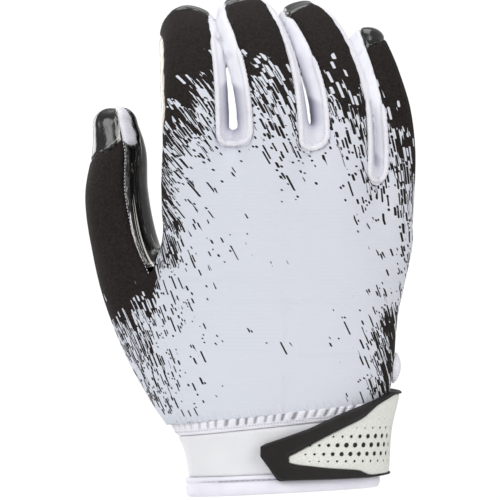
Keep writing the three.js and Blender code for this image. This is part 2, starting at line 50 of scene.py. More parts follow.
# Sizes of the hand and the cuff, in millimetres, as in the part's source.
HAND_WIDTH = 105.0
HAND_DEPTH = 33.0
PALM_LENGTH = 115.0
KNUCKLE_ARCH = 10.0
KNUCKLE_DROP = 44.0
ARCH_APEX = -0.12
FALL_START = 0.08
CUFF_WIDTH = 80.0
CUFF_DEPTH = 40.0
SEAM_HEIGHT = 29.9
SEAM_SLOPE = math.tan(math.radians(6))
SEAM_BAND = 6.2
HEM_TOP = 6.6
HEM_HEIGHT = 8.2
HEM_SLOPE = math.tan(math.radians(3))
CORNER = 2.3
TIP_REACH = 0.95
WALL = 1.4

# up, side, out, width, depth, arch, as shares of the sizes above.
CUFF_ROWS = np.array([
    (-0.35, -0.0625, 0, 1, 1, 0),
    (0.3, -0.0625, 0, 1, 1, 0),
    (0.58, -0.0706, 0, 1.024, 1.01, 0),
    (0.85, -0.095, 0, 1.09, 1.04, 0),
])
HAND_ROWS = np.array([
    (0.03, -0.082, 0, 0.888, 1.29, 0),
    (0.15, -0.074, -0.02, 0.938, 1.33, 0.05),
    (0.28, -0.074, -0.03, 0.95, 1.3, 0.15),
    (0.43, -0.064, -0.06, 0.962, 1.18, 0.3),
    (0.58, -0.048, -0.09, 0.972, 1.06, 0.5),
    (0.76, -0.037, -0.12, 0.962, 0.9, 0.8),
    (0.87, -0.036, -0.14, 0.956, 0.74, 0.95),
    (0.95, -0.03, -0.17, 0.94, 0.52, 1),
    (1, -0.022, -0.19, 0.9, 0.24, 1),
])
# width and depth, then side, out, up, roll, width, depth for each section.
DIGITS = {
    "thumb": (27.0, 25.0, [
        (-0.33, 0.09, 0.07, -14, 1.36, 1.38),
        (-0.45, 0.18, 0.174, -20, 1.32, 1.28),
        (-0.545, 0.27, 0.296, -26, 1.23, 1.18),
        (-0.63, 0.39, 0.461, -34, 1.13, 1.08),
        (-0.688, 0.515, 0.635, -40, 1.03, 1),
        (-0.716, 0.636, 0.809, -44, 0.97, 0.96),
        (-0.71, 0.758, 0.957, -46, 0.85, 0.86),
        (-0.724, 0.848, 1.061, -46, 0.7, 0.72),
    ]),
    "index": (28.6, 19.0, [
        (-0.396, -0.12, 0.757, -4, 0.9, 0.95),
        (-0.396, -0.15, 0.913, -5, 0.97, 1),
        (-0.398, -0.09, 1.06, -5, 1, 1),
        (-0.405, 0.15, 1.213, -4, 0.99, 1),
        (-0.417, 0.515, 1.337, -2, 0.94, 1),
        (-0.424, 0.91, 1.41, 0, 0.87, 0.95),
        (-0.416, 1.24, 1.44, 2, 0.74, 0.84),
    ]),
    "middle": (29.4, 19.6, [
        (-0.09, -0.21, 0.757, 4, 0.9, 0.95),
        (-0.09, -0.24, 0.913, 6, 0.98, 1),
        (-0.09, -0.18, 1.06, 9, 1, 1),
        (-0.114, 0.06, 1.221, 13, 1, 1),
        (-0.157, 0.455, 1.362, 17, 0.98, 1),
        (-0.193, 0.88, 1.443, 19, 0.9, 0.95),
        (-0.21, 1.24, 1.479, 19, 0.76, 0.84),
    ]),
    "ring": (25.8, 18.6, [
        (0.19, -0.09, 0.678, 12, 0.9, 0.95),
        (0.192, -0.12, 0.852, 15, 0.98, 1),
        (0.192, -0.06, 1.009, 18, 1, 1),
        (0.173, 0.14, 1.169, 22, 1.01, 1),
        (0.121, 0.48, 1.322, 25, 0.99, 1),
        (0.067, 0.87, 1.421, 26, 0.9, 0.95),
        (0.03, 1.18, 1.461, 26, 0.76, 0.84),
    ]),
    "little": (20.4, 17.6, [
        (0.325, 0, 0.487, 24, 0.78, 0.86),
        (0.37, 0.03, 0.652, 28, 0.96, 1),
        (0.382, 0.09, 0.809, 31, 1, 1),
        (0.386, 0.18, 0.965, 34, 1, 1),
        (0.37, 0.32, 1.121, 36, 0.98, 1),
        (0.333, 0.52, 1.254, 36, 0.9, 0.95),
        (0.293, 0.73, 1.36, 36, 0.76, 0.84),
    ]),
}
# Left and right digit of each gap, the shares of their paths where its strip starts, and the shares where its
# rolled edge ends.
GAPS = [
    ("index", "middle", 0.22, 0.22, 0.66, 0.6),
    ("middle", "ring", 0.2, 0.27, 0.6, 0.62),
    ("ring", "little", 0.14, 0.34, 0.46, 0.66),
]
# Where panels meet: degrees round a digit or the hand from the middle of its back, and shares of a path.
BACK_EDGE = 42.0
PALM_EDGE = 138.0
OUTER_EDGE = 100.0
BACK_END = {"thumb": 0.86, "index": 0.93, "middle": 0.92, "ring": 0.92, "little": 0.96}
THUMB_STRIP_START = 0.86
THUMB_PALM_START = 0.46
GRID = 1.05
BODY_LOW, BODY_HIGH = [-97, -34, 17], [60, 62, 213]
FOOT_RISE = 1.9  # of the shell's lower edge over the wrist seam
CUFF_LEVEL = 15.0  # height at which lengths round the cuff are taken
ROLL_STEP = 0.45  # along a rolled edge
HOLE_PITCH = 3.65
# Dents of the strip between index and middle finger: place across and up, how level and how steep each runs,
# its reach along and across, and its depth.
DENTS = [(-32.2, 189.0, 0.55, 0.83, 3.2, 1.1, 1.5), (-28.2, 180.6, 1.0, 0.0, 1.5, 1.6, 1.4)]

# The strap: across from its point to the wrist's edge at 1, low and high as shares of its height.
STRAP_POINT = -14.0
STRAP_BOTTOM = 3.4
STRAP_HEIGHT = 36.0
STRAP_OUTLINE = np.array([
    (0, 0.31, 0.39),
    (0.03, 0.23, 0.43),
    (0.137, 0, 0.48),
    (0.39, 0.01, 0.61),
    (0.63, 0.02, 0.78),
    (0.86, 0.03, 0.93),
    (0.96, 0.05, 1.02),
    (1.05, 0.06, 1.05),
    (1.3, 0.07, 0.89),
    (1.7, 0.08, 0.64),
])
PANEL_OUTLINE = np.array([
    (0.22, 0.22, 0.28),
    (0.25, 0.19, 0.31),
    (0.54, 0.14, 0.55),
    (0.785, 0.115, 0.745),
    (0.83, 0.055, 0.865),
    (0.96, 0.07, 1.0),
    (1.05, 0.1, 0.99),
    (1.3, 0.12, 0.83),
    (1.6, 0.14, 0.6),
])
BACKING_IN = 1.4
FRAME_IN = 2.9
FRAME_WALL = 2.2
PANEL_WALL = 1.2
TAB_WIDTH = 9.0
TAB_HEIGHT = 13.0
TAB_BOTTOM = 43.5
TAB_THICKNESS = 2.4


# Small tools for arrays.

def unit(vectors):
    """Each vector divided by its own length."""
    return vectors / np.linalg.norm(vectors, axis=1, keepdims=True)


def signed_power(value, power):
    """The size of a value raised to a power, with the value's own sign."""
    return np.sign(value) * np.abs(value) ** power


def length_along(path):
    """Length of a polyline from its start to each of its points: the sum of the steps so far."""
    return np.concatenate([[0], np.cumsum(np.linalg.norm(np.diff(path, axis=0), axis=1))])


def columns_at(places, known, table):
    """Every column of a table, known at some places, at other places: straight between its rows."""
    return np.stack([np.interp(places, known, table[:, k]) for k in range(table.shape[1])], axis=1)


def smooth(low, high, value):
    """A soft step from 0 at low to 1 at high: three squares less two cubes of the share between them."""
    t = np.clip((value - low) / (high - low), 0, 1)
    return t * t * (3 - 2 * t)


def bump(value, middle, width):
    """A soft hill of height 1 round a place: e to the minus square of the way from it, in widths."""
    return np.exp(-(((value - middle) / width) ** 2))


# The body as a distance.

def smooth_rows(rows, places, reach):
    """Columns of a table over its first column, straight between rows, then averaged over a short reach."""
    dense = columns_at(places, rows[:, 0], rows)
    step = places[1] - places[0]
    offsets = np.arange(-int(3 * reach / step), int(3 * reach / step) + 1)
    weights = np.exp(-0.5 * (offsets * step / reach) ** 2)
    weights /= weights.sum()
    padded = np.pad(dense, ((len(offsets) // 2,) * 2, (0, 0)), mode="edge")
    return np.stack([np.convolve(padded[:, k], weights, mode="valid") for k in range(dense.shape[1])], axis=1)


def sleeve_table():
    """Height, centre across and through, half width, half depth and arch of cuff and hand, in millimetres."""
    def scaled(rows, start, height, across, through):
        """The rows' shares times the sizes that they are shares of."""
        up, side, out, width, depth, arch = rows.T
        return np.stack([start + up * height, side * across, out * through,
                         width * across / 2, depth * through / 2, arch], axis=1)
    rows = np.vstack([scaled(CUFF_ROWS, 0, SEAM_HEIGHT, CUFF_WIDTH, CUFF_DEPTH),
                      scaled(HAND_ROWS, SEAM_HEIGHT, PALM_LENGTH, HAND_WIDTH, HAND_DEPTH)])
    places = np.linspace(rows[0, 0], rows[-1, 0], 600)
    table = smooth_rows(rows, places, 3.0)
    table[:, 0] = places
    return table


SLEEVE = sleeve_table()
TOP = SLEEVE[-1, 0]


def sleeve_at(height):
    """Centre across and through, half width, half depth and arch of the sleeve at heights."""
    return [np.interp(height, SLEEVE[:, 0], SLEEVE[:, k]) for k in range(1, 6)]


def knuckle_line(x):
    """How far the knuckles' arch bends back, and how far their line falls, at places across the hand."""
    bend = ((x / HAND_WIDTH - ARCH_APEX) / (0.5 - ARCH_APEX)) ** 2
    fall = np.clip((x / HAND_WIDTH - FALL_START) / (0.5 - FALL_START), 0, 1) ** 2
    return bend, fall


def superellipse(u, v, w=0.0):
    """Radius in units of the section: the exponent sum of the three shares."""
    total = np.abs(u) ** CORNER + np.abs(v) ** CORNER + np.abs(w) ** CORNER
    return np.maximum(total, 1e-9) ** (1 / CORNER)


def section_angle(u, v):
    """Angle round a section from the middle of the back, in degrees, from shares of its half sizes."""
    return np.degrees(np.arctan2(signed_power(u, CORNER / 2), signed_power(v, CORNER / 2)))


def sleeve_distance(points):
    """Distance to the hand without digits, along the ray from its middle, and the angle round it."""
    x, y, z = points.T
    bend, fall = knuckle_line(x)
    level = z.copy()
    for _ in range(4):
        arch = np.interp(level, SLEEVE[:, 0], SLEEVE[:, 5])
        level = z + arch ** 3 * KNUCKLE_DROP * fall
    cx, cy, a, b, arch = sleeve_at(np.minimum(level, TOP))
    u = x - cx
    v = -(y - cy - arch * KNUCKLE_ARCH * bend)
    w = np.maximum(level - TOP, 0)
    radius = superellipse(u / a, v / b, w / b)
    length = np.sqrt(u * u + v * v + w * w)
    return length - length / radius, section_angle(u / a, v / b), level


def digit_path(name, count=72):
    """A digit's middle line through its sections, with the frame and half sizes at even steps."""
    width, depth, rows = DIGITS[name]
    rows = np.array(rows, float)
    knots = np.stack([rows[:, 0] * HAND_WIDTH, rows[:, 1] * HAND_DEPTH,
                      SEAM_HEIGHT + rows[:, 2] * PALM_LENGTH], axis=1)
    slopes = np.gradient(knots, axis=0)
    index = np.linspace(0, len(knots) - 1, count)
    low = np.minimum(index.astype(int), len(knots) - 2)
    t = (index - low)[:, None]
    centre = ((2 * t**3 - 3 * t**2 + 1) * knots[low] + (t**3 - 2 * t**2 + t) * slopes[low]
              + (3 * t**2 - 2 * t**3) * knots[low + 1] + (t**3 - t**2) * slopes[low + 1])
    along = unit(np.gradient(centre, axis=0))
    front = unit(np.array([0.0, -1.0, 0.0]) + along * along[:, 1:2])
    across = np.cross(along, front)
    knot_index = np.arange(len(knots))
    roll = np.radians(np.interp(index, knot_index, rows[:, 3]))[:, None]
    return {
        "centre": centre, "along": along,
        "back": front * np.cos(roll) + across * np.sin(roll),
        "side": across * np.cos(roll) - front * np.sin(roll),
        "a": np.interp(index, knot_index, rows[:, 4]) * width / 2,
        "b": np.interp(index, knot_index, rows[:, 5]) * depth / 2,
        "share": index / (len(knots) - 1),
        "length": length_along(centre),
    }


PATHS = {name: digit_path(name) for name in DIGITS}


def path_at(path, length):
    """Every column of a path at lengths along it, straight between its steps."""
    place = np.interp(length, path["length"], np.arange(len(path["length"])))
    low = np.minimum(place.astype(int), len(path["length"]) - 2)
    part = place - low
    out = {}
    for key, values in path.items():
        f = part[:, None] if values.ndim == 2 else part
        out[key] = values[low] * (1 - f) + values[low + 1] * f
    return out


def digit_coordinates(name, points):
    """Distance to a digit, angle round it in degrees, share of its path, and length along it."""
    path = PATHS[name]
    centre = path["centre"]
    apart = (points**2).sum(1)[:, None] - 2 * points @ centre.T + (centre**2).sum(1)[None]
    nearest = apart.argmin(1)
    offset = ((points - centre[nearest]) * path["along"][nearest]).sum(1)
    length = np.clip(path["length"][nearest] + offset, 0, path["length"][-1])
    at = path_at(path, length)
    q = points - at["centre"]
    u = (q * at["side"]).sum(1)
    v = (q * at["back"]).sum(1)
    w = (q * at["along"]).sum(1)
    beyond = np.where(length >= path["length"][-1] - 1e-6, np.maximum(w, 0), 0)
    beyond = beyond + np.where(length <= 1e-6, np.maximum(-w, 0), 0)
    radius = superellipse(u / at["a"], v / at["b"], beyond / (TIP_REACH * at["b"]))
    size = np.sqrt(u * u + v * v + beyond * beyond)
    share = at["share"] + np.where(w > 0, beyond, 0) / path["length"][-1]
    return size - size / radius, section_angle(u / at["a"], v / at["b"]), share, length


def blend(a, b, reach):
    """The lesser of two distances, rounded where they are within reach of each other."""
    h = np.maximum(reach - np.abs(a - b), 0) / reach
    return np.minimum(a, b) - h * h * reach / 4


# How far each digit is rounded into the hand and two digits into each other, and the room round a digit in
# which its distance is worked out, in millimetres.
BLEND = {"thumb": 12.0, "index": 7.0, "middle": 7.0, "ring": 7.0, "little": 8.0}
CROTCH_BLEND = 1.2
DIGIT_ROOM = 30


def body_distance(points):
    """Distance to the whole body: the hand, rounded into each digit, and the digits beside each other."""
    hand = sleeve_distance(points)[0]
    total = hand.copy()
    for name, path in PATHS.items():
        low = path["centre"].min(0) - DIGIT_ROOM
        high = path["centre"].max(0) + DIGIT_ROOM
        near = np.all((points > low) & (points < high), axis=1)
        digit = digit_coordinates(name, points[near])[0]
        joined = blend(hand[near], digit, BLEND[name])
        total[near] = blend(total[near], joined, CROTCH_BLEND)
    return total


def gradient(points, step=0.15):
    """Direction of steepest rise of the distance, from differences along the axes."""
    base = body_distance(points)
    rise = np.stack([body_distance(points + step * np.eye(3)[k]) - base for k in range(3)], axis=1) / step
    return base, rise


def settle(points, rounds=3):
    """Points moved onto the surface along the steepest rise, with the outward direction there."""
    for _ in range(rounds):
        base, rise = gradient(points)
        square = np.maximum((rise**2).sum(1), 0.15)
        points = points - (np.clip(base, -2, 2) / square)[:, None] * rise
    rise = gradient(points)[1]
    return points, rise / np.maximum(np.linalg.norm(rise, axis=1, keepdims=True), 1e-9)


def surface_net(low, high, step, coarse=4):
    """Quads of the body's surface: a vertex in each grid cell that the surface crosses, in the mean of its
    edge crossings, and a quad round each crossed grid edge. Far from the surface a coarse grid gives the
    sign."""
    cells = [int(math.ceil((high[k] - low[k]) / step / coarse)) * coarse for k in range(3)]
    axes = [low[k] + step * np.arange(cells[k] + 1) for k in range(3)]
    rough = np.stack(np.meshgrid(*[a[::coarse] for a in axes], indexing="ij"), axis=-1)
    far = body_distance(rough.reshape(-1, 3)).reshape(rough.shape[:3])
    places = [np.minimum((np.arange(len(a)) + coarse // 2) // coarse, far.shape[k] - 1)
              for k, a in enumerate(axes)]
    value = far[np.ix_(*places)]
    close = np.abs(value) < 1.9 * step * coarse
    shape = value.shape
    index = np.nonzero(close)
    value[index] = body_distance(np.stack([axes[k][index[k]] for k in range(3)], axis=1))
    inside = value < 0
    cells = tuple(n - 1 for n in shape)
    total = np.zeros(cells + (3,))
    count = np.zeros(cells)
    for axis in range(3):
        near = [slice(None)] * 3
        far = [slice(None)] * 3
        near[axis] = slice(0, -1)
        far[axis] = slice(1, None)
        a, b = value[tuple(near)], value[tuple(far)]
        crossed = inside[tuple(near)] != inside[tuple(far)]
        part = np.where(crossed, a / np.where(crossed, a - b, 1), 0)
        others = [k for k in range(3) if k != axis]
        for i in (0, 1):
            for j in (0, 1):
                pick = [slice(None)] * 3
                pick[others[0]] = slice(i, cells[others[0]] + i)
                pick[others[1]] = slice(j, cells[others[1]] + j)
                hit = crossed[tuple(pick)]
                count += hit
                total[..., axis] += hit * part[tuple(pick)]
                total[..., others[0]] += hit * i
                total[..., others[1]] += hit * j
    active = count > 0
    number = np.full(cells, -1)
    number[active] = np.arange(active.sum())
    corner = np.stack(np.nonzero(active), axis=1)
    vertices = np.array(low) + step * (corner + total[active] / count[active][:, None])
    quads = []
    for axis in range(3):
        near = [slice(1, -1)] * 3
        far = [slice(1, -1)] * 3
        near[axis] = slice(0, -1)
        far[axis] = slice(1, None)
        leaving = inside[tuple(near)] & ~inside[tuple(far)]
        entering = ~inside[tuple(near)] & inside[tuple(far)]
        for flags, turned in ((leaving, False), (entering, True)):
            place = np.stack(np.nonzero(flags), axis=1)
            for k in range(3):
                if k != axis:
                    place[:, k] += 1
            others = [(axis + 1) % 3, (axis + 2) % 3]
            ring = []
            for i, j in ((0, 0), (1, 0), (1, 1), (0, 1)):
                p = place.copy()
                p[:, others[0]] -= 1 - i
                p[:, others[1]] -= 1 - j
                ring.append(number[p[:, 0], p[:, 1], p[:, 2]])
            quad = np.stack(ring, axis=1)
            quads.append(quad[:, ::-1] if turned else quad)
    return vertices, np.vstack(quads)


def relax(vertices, quads, rounds):
    """Vertices moved halfway to the mean of their neighbours, and back onto the surface, a few times."""
    edges = np.vstack([quads[:, [0, 1]], quads[:, [1, 2]], quads[:, [2, 3]], quads[:, [3, 0]]])
    degree = np.bincount(edges.ravel(), minlength=len(vertices))[:, None]
    for _ in range(rounds):
        total = np.zeros_like(vertices)
        for k in range(3):
            total[:, k] = np.bincount(edges[:, 0], vertices[edges[:, 1], k], len(vertices))
            total[:, k] += np.bincount(edges[:, 1], vertices[edges[:, 0], k], len(vertices))
        vertices = vertices * 0.5 + 0.5 * total / degree
    return vertices


# Panels and their seams.

def ripple(points, size, seed, count=10):
    """Smooth seeded unevenness between about -1 and 1: the mean of waves in many directions, size apart."""
    rng = np.random.default_rng(seed)
    ways = rng.normal(size=(count, 3))
    ways /= np.linalg.norm(ways, axis=1, keepdims=True)
    lengths = size * rng.uniform(0.7, 1.5, count)
    phases = rng.uniform(0, 2 * math.pi, count)
    waves = np.sin(2 * math.pi * (points @ ways.T) / lengths + phases)
    return waves.sum(1) / math.sqrt(count)


def palm_wrap(share):
    """Degrees by which the palm wraps further round the index finger, most along the finger's middle."""
    return 38 * smooth(0.22, 0.4, share) * (1 - smooth(0.7, 0.85, share))


def body_mesh():
    """The whole body as triangles, with the distance to every seam, the print and the unrolled places."""
    vertices, quads = surface_net(BODY_LOW, BODY_HIGH, GRID)
    vertices = relax(vertices, quads, 2)
    vertices, normals = settle(vertices)
    mesh = {"p": vertices, "n": normals,
            "faces": np.vstack([quads[:, [0, 1, 2]], quads[:, [0, 2, 3]]])}
    hand, hand_angle, level = sleeve_distance(vertices)
    cx, cy, a, b, arch = sleeve_at(np.minimum(level, TOP))
    bend = knuckle_line(vertices[:, 0])[0]
    u = vertices[:, 0] - cx
    v = -(vertices[:, 1] - cy - arch * KNUCKLE_ARCH * bend)
    weights = [np.exp(-np.maximum(hand, -1) / 1.2)]
    sides = [0.3 * (OUTER_EDGE - np.abs(hand_angle))]
    flat_x = cx + u + np.sign(u) * 0.9 * np.maximum(b - v, 0) * smooth(0.3, 1, np.abs(u) / a)
    flat_z = vertices[:, 2].copy()
    digits = {}
    for name, path in PATHS.items():
        distance, angle, share, length = digit_coordinates(name, vertices)
        at = path_at(path, length)
        per_degree = math.pi / 180 * np.sqrt(at["a"] * at["b"])
        digits[name] = {"distance": distance, "angle": angle, "share": share, "length": length,
                        "degree": per_degree, "total": path["length"][-1]}
        side = per_degree * (OUTER_EDGE - np.abs(angle))
        if name == "thumb":
            side = per_degree * np.minimum(OUTER_EDGE + angle, BACK_EDGE + 16 - angle)
        if name == "index":
            side = per_degree * np.minimum(OUTER_EDGE - palm_wrap(share) + angle, OUTER_EDGE - angle)
        weights.append(np.exp(-np.maximum(distance, -1) / 1.2))
        sides.append(side)
    weights = np.array(weights)
    mesh["side"] = (weights * np.array(sides)).sum(0) / weights.sum(0)
    closest = np.argmin([d["distance"] for d in digits.values()], axis=0)
    tip = np.full(len(vertices), -60.0)
    for k, (name, d) in enumerate(digits.items()):
        path = PATHS[name]
        mine = (closest == k) & (d["distance"] < 3)
        leaning = 0.0007 * d["angle"]
        scallop = 1.2 * np.cos(np.radians(2 * d["angle"]))
        past = (d["share"] - BACK_END[name] - leaning) * d["total"] + scallop
        tip = np.where(mine, past, tip)
        at = path_at(path, d["length"])
        q = vertices - at["centre"]
        du = (q * at["side"]).sum(1)
        dv = (q * at["back"]).sum(1)
        own_x = at["centre"][:, 0] + du + np.sign(du) * 0.9 * np.maximum(at["b"] - dv, 0) * smooth(
            0.3, 1, np.abs(du) / at["a"])
        own_z = path["centre"][0, 2] + d["length"] + np.where(d["length"] >= d["total"] - 1e-6,
                                                              (q * at["along"]).sum(1), 0)
        weight = smooth(0.1, 0.45, d["share"]) * mine * (name != "thumb")
        flat_x = flat_x * (1 - weight) + own_x * weight
        flat_z = flat_z * (1 - weight) + own_z * weight
    mesh["tip"] = tip
    mesh["flat_x"] = flat_x
    mesh["flat_z"] = flat_z
    for left, right, left_start, right_start, _, _ in GAPS:
        mesh["strip_" + left] = np.maximum(strip_side(digits[left], 1, left_start),
                                           strip_side(digits[right], -1, right_start))
    mesh["thumb_strip"] = strip_side(digits["thumb"], 1, THUMB_STRIP_START, 60, 100)
    thumb = digits["thumb"]
    mesh["thumb_palm"] = np.where(thumb["distance"] < 4,
                                  (thumb["share"] - THUMB_PALM_START) * thumb["total"], -40)
    mesh["share_thumb"] = np.where(thumb["distance"] < 5, thumb["share"], 0)
    mesh["angle_thumb"] = thumb["angle"]
    mesh["near_thumb"] = thumb["distance"]
    mesh["thumb_x"] = thumb["angle"] * thumb["degree"]
    mesh["thumb_z"] = thumb["length"]
    # Painted shade on the side strips, kept as the deep attribute: it grows as a wall turns further into its
    # gap, is weaker within about 16 mm of the strip's start, and ends in a step across the strip about half
    # way along the finger.
    deep = np.zeros(len(vertices))
    for gap in GAPS:
        for name, hand_side, start in ((gap[0], 1, gap[2]), (gap[1], -1, gap[3])):
            d = digits[name]
            angle = d["angle"] * hand_side
            there = (closest == list(digits).index(name)) & (d["distance"] < 4) & (angle > 0)
            lower = 1 - smooth(0.47, 0.5, d["share"] - 0.0013 * (angle - 80))
            above = smooth(2, 16, (d["share"] - start) * d["total"])
            hidden = 0.16 + 0.84 * np.clip((angle - BACK_EDGE - 8) / 46, 0, 1)
            deep = np.where(there, hidden * lower * (0.25 + 0.75 * above), deep)
    mesh["deep"] = deep
    index = digits["index"]
    from_edge = index["degree"] * (OUTER_EDGE - palm_wrap(index["share"]) + index["angle"])
    mesh["pale"] = bump(from_edge, -1.6, 1.5) * (closest == 1) * smooth(0.2, 0.3, index["share"]) * (
        1 - smooth(0.8, 0.9, index["share"]))
    mesh["foot"] = vertices[:, 2] - seam_line(vertices[:, 0]) - FOOT_RISE
    mesh["stroke"], mesh["run"] = stroke_lines(mesh)
    mesh["ink"] = ink(mesh)
    mesh["p"] = vertices + normals * relief(mesh)[:, None]
    return mesh


def strip_side(d, hand_side, start, low=BACK_EDGE, high=PALM_EDGE):
    """Distance inside one finger's half of a side strip: between its two edges and past its start."""
    angle = d["angle"] * hand_side
    across = blend(d["degree"] * (angle - low), d["degree"] * (high - angle), 3)
    return np.where(d["distance"] < 3.2, blend(across, (d["share"] - start) * d["total"] - 1.6, 5), -40)


def relief(mesh):
    """Soft unevenness of worn cloth over the whole body, outward in millimetres."""
    p = mesh["p"]
    out = 0.22 * ripple(p * [1, 1, 0.6], 26, 3)
    for x in (-41, -9, 20, 38):  # of the knuckles
        on_hand = bump(p[:, 0], x, 8) * smooth(70, 105, p[:, 2]) * (1 - smooth(125, 140, p[:, 2]))
        out += 0.35 * on_hand * (p[:, 1] < 0)
    angle = mesh["angle_thumb"] - 26
    flat = 8.5 * (np.cos(np.radians(angle)) - math.cos(math.radians(38)))
    out -= np.maximum(flat, 0) * (np.abs(angle) < 90) * smooth(0.8, 0.88, mesh["share_thumb"])
    side = ((p[:, 0] > -36) & (p[:, 0] < -20) & (p[:, 2] > 150)).astype(float)
    for x, z, level, steep, long, wide, depth in DENTS:
        along = (p[:, 0] - x) * level - (p[:, 2] - z) * steep
        across = (p[:, 0] - x) * steep + (p[:, 2] - z) * level
        out -= depth * side * np.exp(-((along / long) ** 2) - (across / wide) ** 2)
    return out


def stroke_lines(mesh):
    """The print's strokes as a number that is the same along a stroke, and the way along it, in millimetres.
    The strokes lean down to the little finger's side, more so over the index finger, where they spread: the
    number is the place across times a spread that falls with height, plus the sum of the lean so far."""
    height = np.linspace(0, 260, 521)
    spread = np.exp(-0.0067 * np.maximum(height - 112, 0) ** 1.02)
    lean = np.cumsum(0.52 * spread) * 0.5
    x, z = 0.5 * mesh["flat_x"] + 0.5 * mesh["p"][:, 0], mesh["flat_z"]
    hand = x * np.interp(z, height, spread) + np.interp(z, height, lean) - np.interp(85, height, lean)
    return hand, 1.18 * z


def ink(mesh):
    """How much of the cloth the print covers, from 0 to 1: all of the fingertips and the thumb, fewer strokes
    down the fingers, and fewer in from the thumb's side and from the little finger's edge."""
    x, z = mesh["flat_x"], mesh["flat_z"]
    low = np.interp(x, [-58, -48, -34, -22, 0, 12, 30, 44, 58], [84, 106, 118, 128, 112, 126, 96, 84, 66])
    full = np.interp(x, [-58, -48, -34, -22, 0, 12, 30, 34, 44, 58],
                     [160, 174, 186, 190, 184, 182, 176, 168, 156, 138])
    top = np.clip((z - low) / (full - low), 0, 1.3) ** 1.35
    thumb = 1.3 * smooth(0.2, 0.52, mesh["share_thumb"]) * (mesh["near_thumb"] < 4)
    thumb = thumb * smooth(-54, -60, mesh["p"][:, 0])
    edge = np.interp(z, [30, 50, 72, 97], [-54, -68, -80, -85])
    reach = np.interp(z, [30, 60, 97, 130], [8, 17, 24, 18])
    left = np.exp(-((np.maximum(x - edge, 0) / reach) ** 1.25))
    left = left * smooth(26, 36, z) * (1 - smooth(100, 135, z))
    left = left * np.interp(z, [30, 50, 72, 92, 104], [0.3, 0.42, 0.55, 0.78, 0.9])
    side = 0.6 * smooth(-47, -57, x) * smooth(80, 100, z) * (1 - smooth(160, 175, z))
    right = np.exp(-np.maximum(46 - x, 0) / 9) * smooth(30, 42, z) * (1 - smooth(66, 92, z))
    return np.maximum.reduce([top, thumb, left, side, 0.7 * right])


def clip(mesh, value):
    """Keeps the part of a triangle mesh where value is above nought. A triangle that the line crosses is cut
    there, and everything known at its corners is shared out along the cut edge."""
    faces = mesh["faces"]
    keep = value > 0
    count = keep[faces].sum(1)
    one = faces[count == 1]
    turn = (keep[one].argmax(1)[:, None] + np.arange(3)) % 3
    one = np.take_along_axis(one, turn, 1)
    two = faces[count == 2]
    turn = ((~keep[two]).argmax(1)[:, None] + np.arange(3)) % 3
    two = np.take_along_axis(two, turn, 1)
    pairs = np.vstack([one[:, [0, 1]], one[:, [0, 2]], two[:, [0, 1]], two[:, [0, 2]]])
    edges, inverse = np.unique(np.sort(pairs, axis=1), axis=0, return_inverse=True)
    inverse = inverse.reshape(-1) + len(value)
    part = value[edges[:, 0]] / (value[edges[:, 0]] - value[edges[:, 1]])
    cut = np.split(inverse, np.cumsum([len(one), len(one), len(two)]))
    new = [faces[count == 3],
           np.stack([one[:, 0], cut[0], cut[1]], axis=1),
           np.stack([cut[2], two[:, 1], two[:, 2]], axis=1),
           np.stack([cut[2], two[:, 2], cut[3]], axis=1)]
    new = np.vstack(new)
    used, renumbered = np.unique(new, return_inverse=True)
    out = {"faces": renumbered.reshape(-1, 3)}
    for key, values in mesh.items():
        if key == "faces":
            continue
        low, high = values[edges[:, 0]], values[edges[:, 1]]
        f = part[:, None] if values.ndim == 2 else part
        out[key] = np.concatenate([values, low * (1 - f) + high * f])[used]
    return out


def largest(mesh):
    """Only the body with most faces: labels spread along the faces until they settle."""
    label = np.arange(len(mesh["p"]))
    faces = mesh["faces"]
    while True:
        least = label[faces].min(1)
        new = label.copy()
        for k in range(3):
            np.minimum.at(new, faces[:, k], least)
        new = new[new]
        if np.array_equal(new, label):
            break
        label = new
    of_face = label[faces[:, 0]]
    names, counts = np.unique(of_face, return_counts=True)
    faces = faces[of_face == names[counts.argmax()]]
    used, renumbered = np.unique(faces, return_inverse=True)
    out = {key: values[used] for key, values in mesh.items() if key != "faces"}
    out["faces"] = renumbered.reshape(-1, 3)
    return out


STRIPS = ["strip_index", "strip_middle", "strip_ring", "thumb_strip"]


def panel(mesh, limits):
    """A panel of the body: the largest piece of what all limits leave."""
    for limit in limits:
        mesh = clip(mesh, limit(mesh))
    return largest(mesh)


def draw_in(mesh, seams, depth, reach, pucker=0.0):
    """Sinks a panel towards its seams: depth at the seam, fading over reach, with small puckers along it."""
    apart = np.min(np.abs([mesh[name] for name in seams]), axis=0)
    sink = depth * np.exp(-((apart / reach) ** 2))
    folds = pucker * np.exp(-((apart / (1.8 * reach)) ** 2)) * ripple(mesh["p"], 4.5, 11)
    mesh["p"] = mesh["p"] - mesh["n"] * (sink + folds)[:, None]
    return mesh


# Cuff, strap and piping.

def sleeve_ring(angle, height, out):
    """Points of the sleeve: angle from the middle of the back, height and distance out of the cloth."""
    cx, cy, a, b, arch = sleeve_at(height)
    u = (a + out) * signed_power(np.sin(angle), 2 / CORNER)
    v = (b + out) * signed_power(np.cos(angle), 2 / CORNER)
    x = cx + u
    bend, fall = knuckle_line(x)
    return np.stack([x, cy - v + arch * KNUCKLE_ARCH * bend, height - arch**3 * KNUCKLE_DROP * fall], axis=-1)


def even_angles(count):
    """Angles round the sleeve whose points stand evenly apart on the cuff."""
    fine = np.linspace(0, 2 * math.pi, 4001)
    length = length_along(sleeve_ring(fine, np.full_like(fine, CUFF_LEVEL), 0))
    return np.interp(np.linspace(0, length[-1], count + 1)[:-1], length, fine), length[-1]


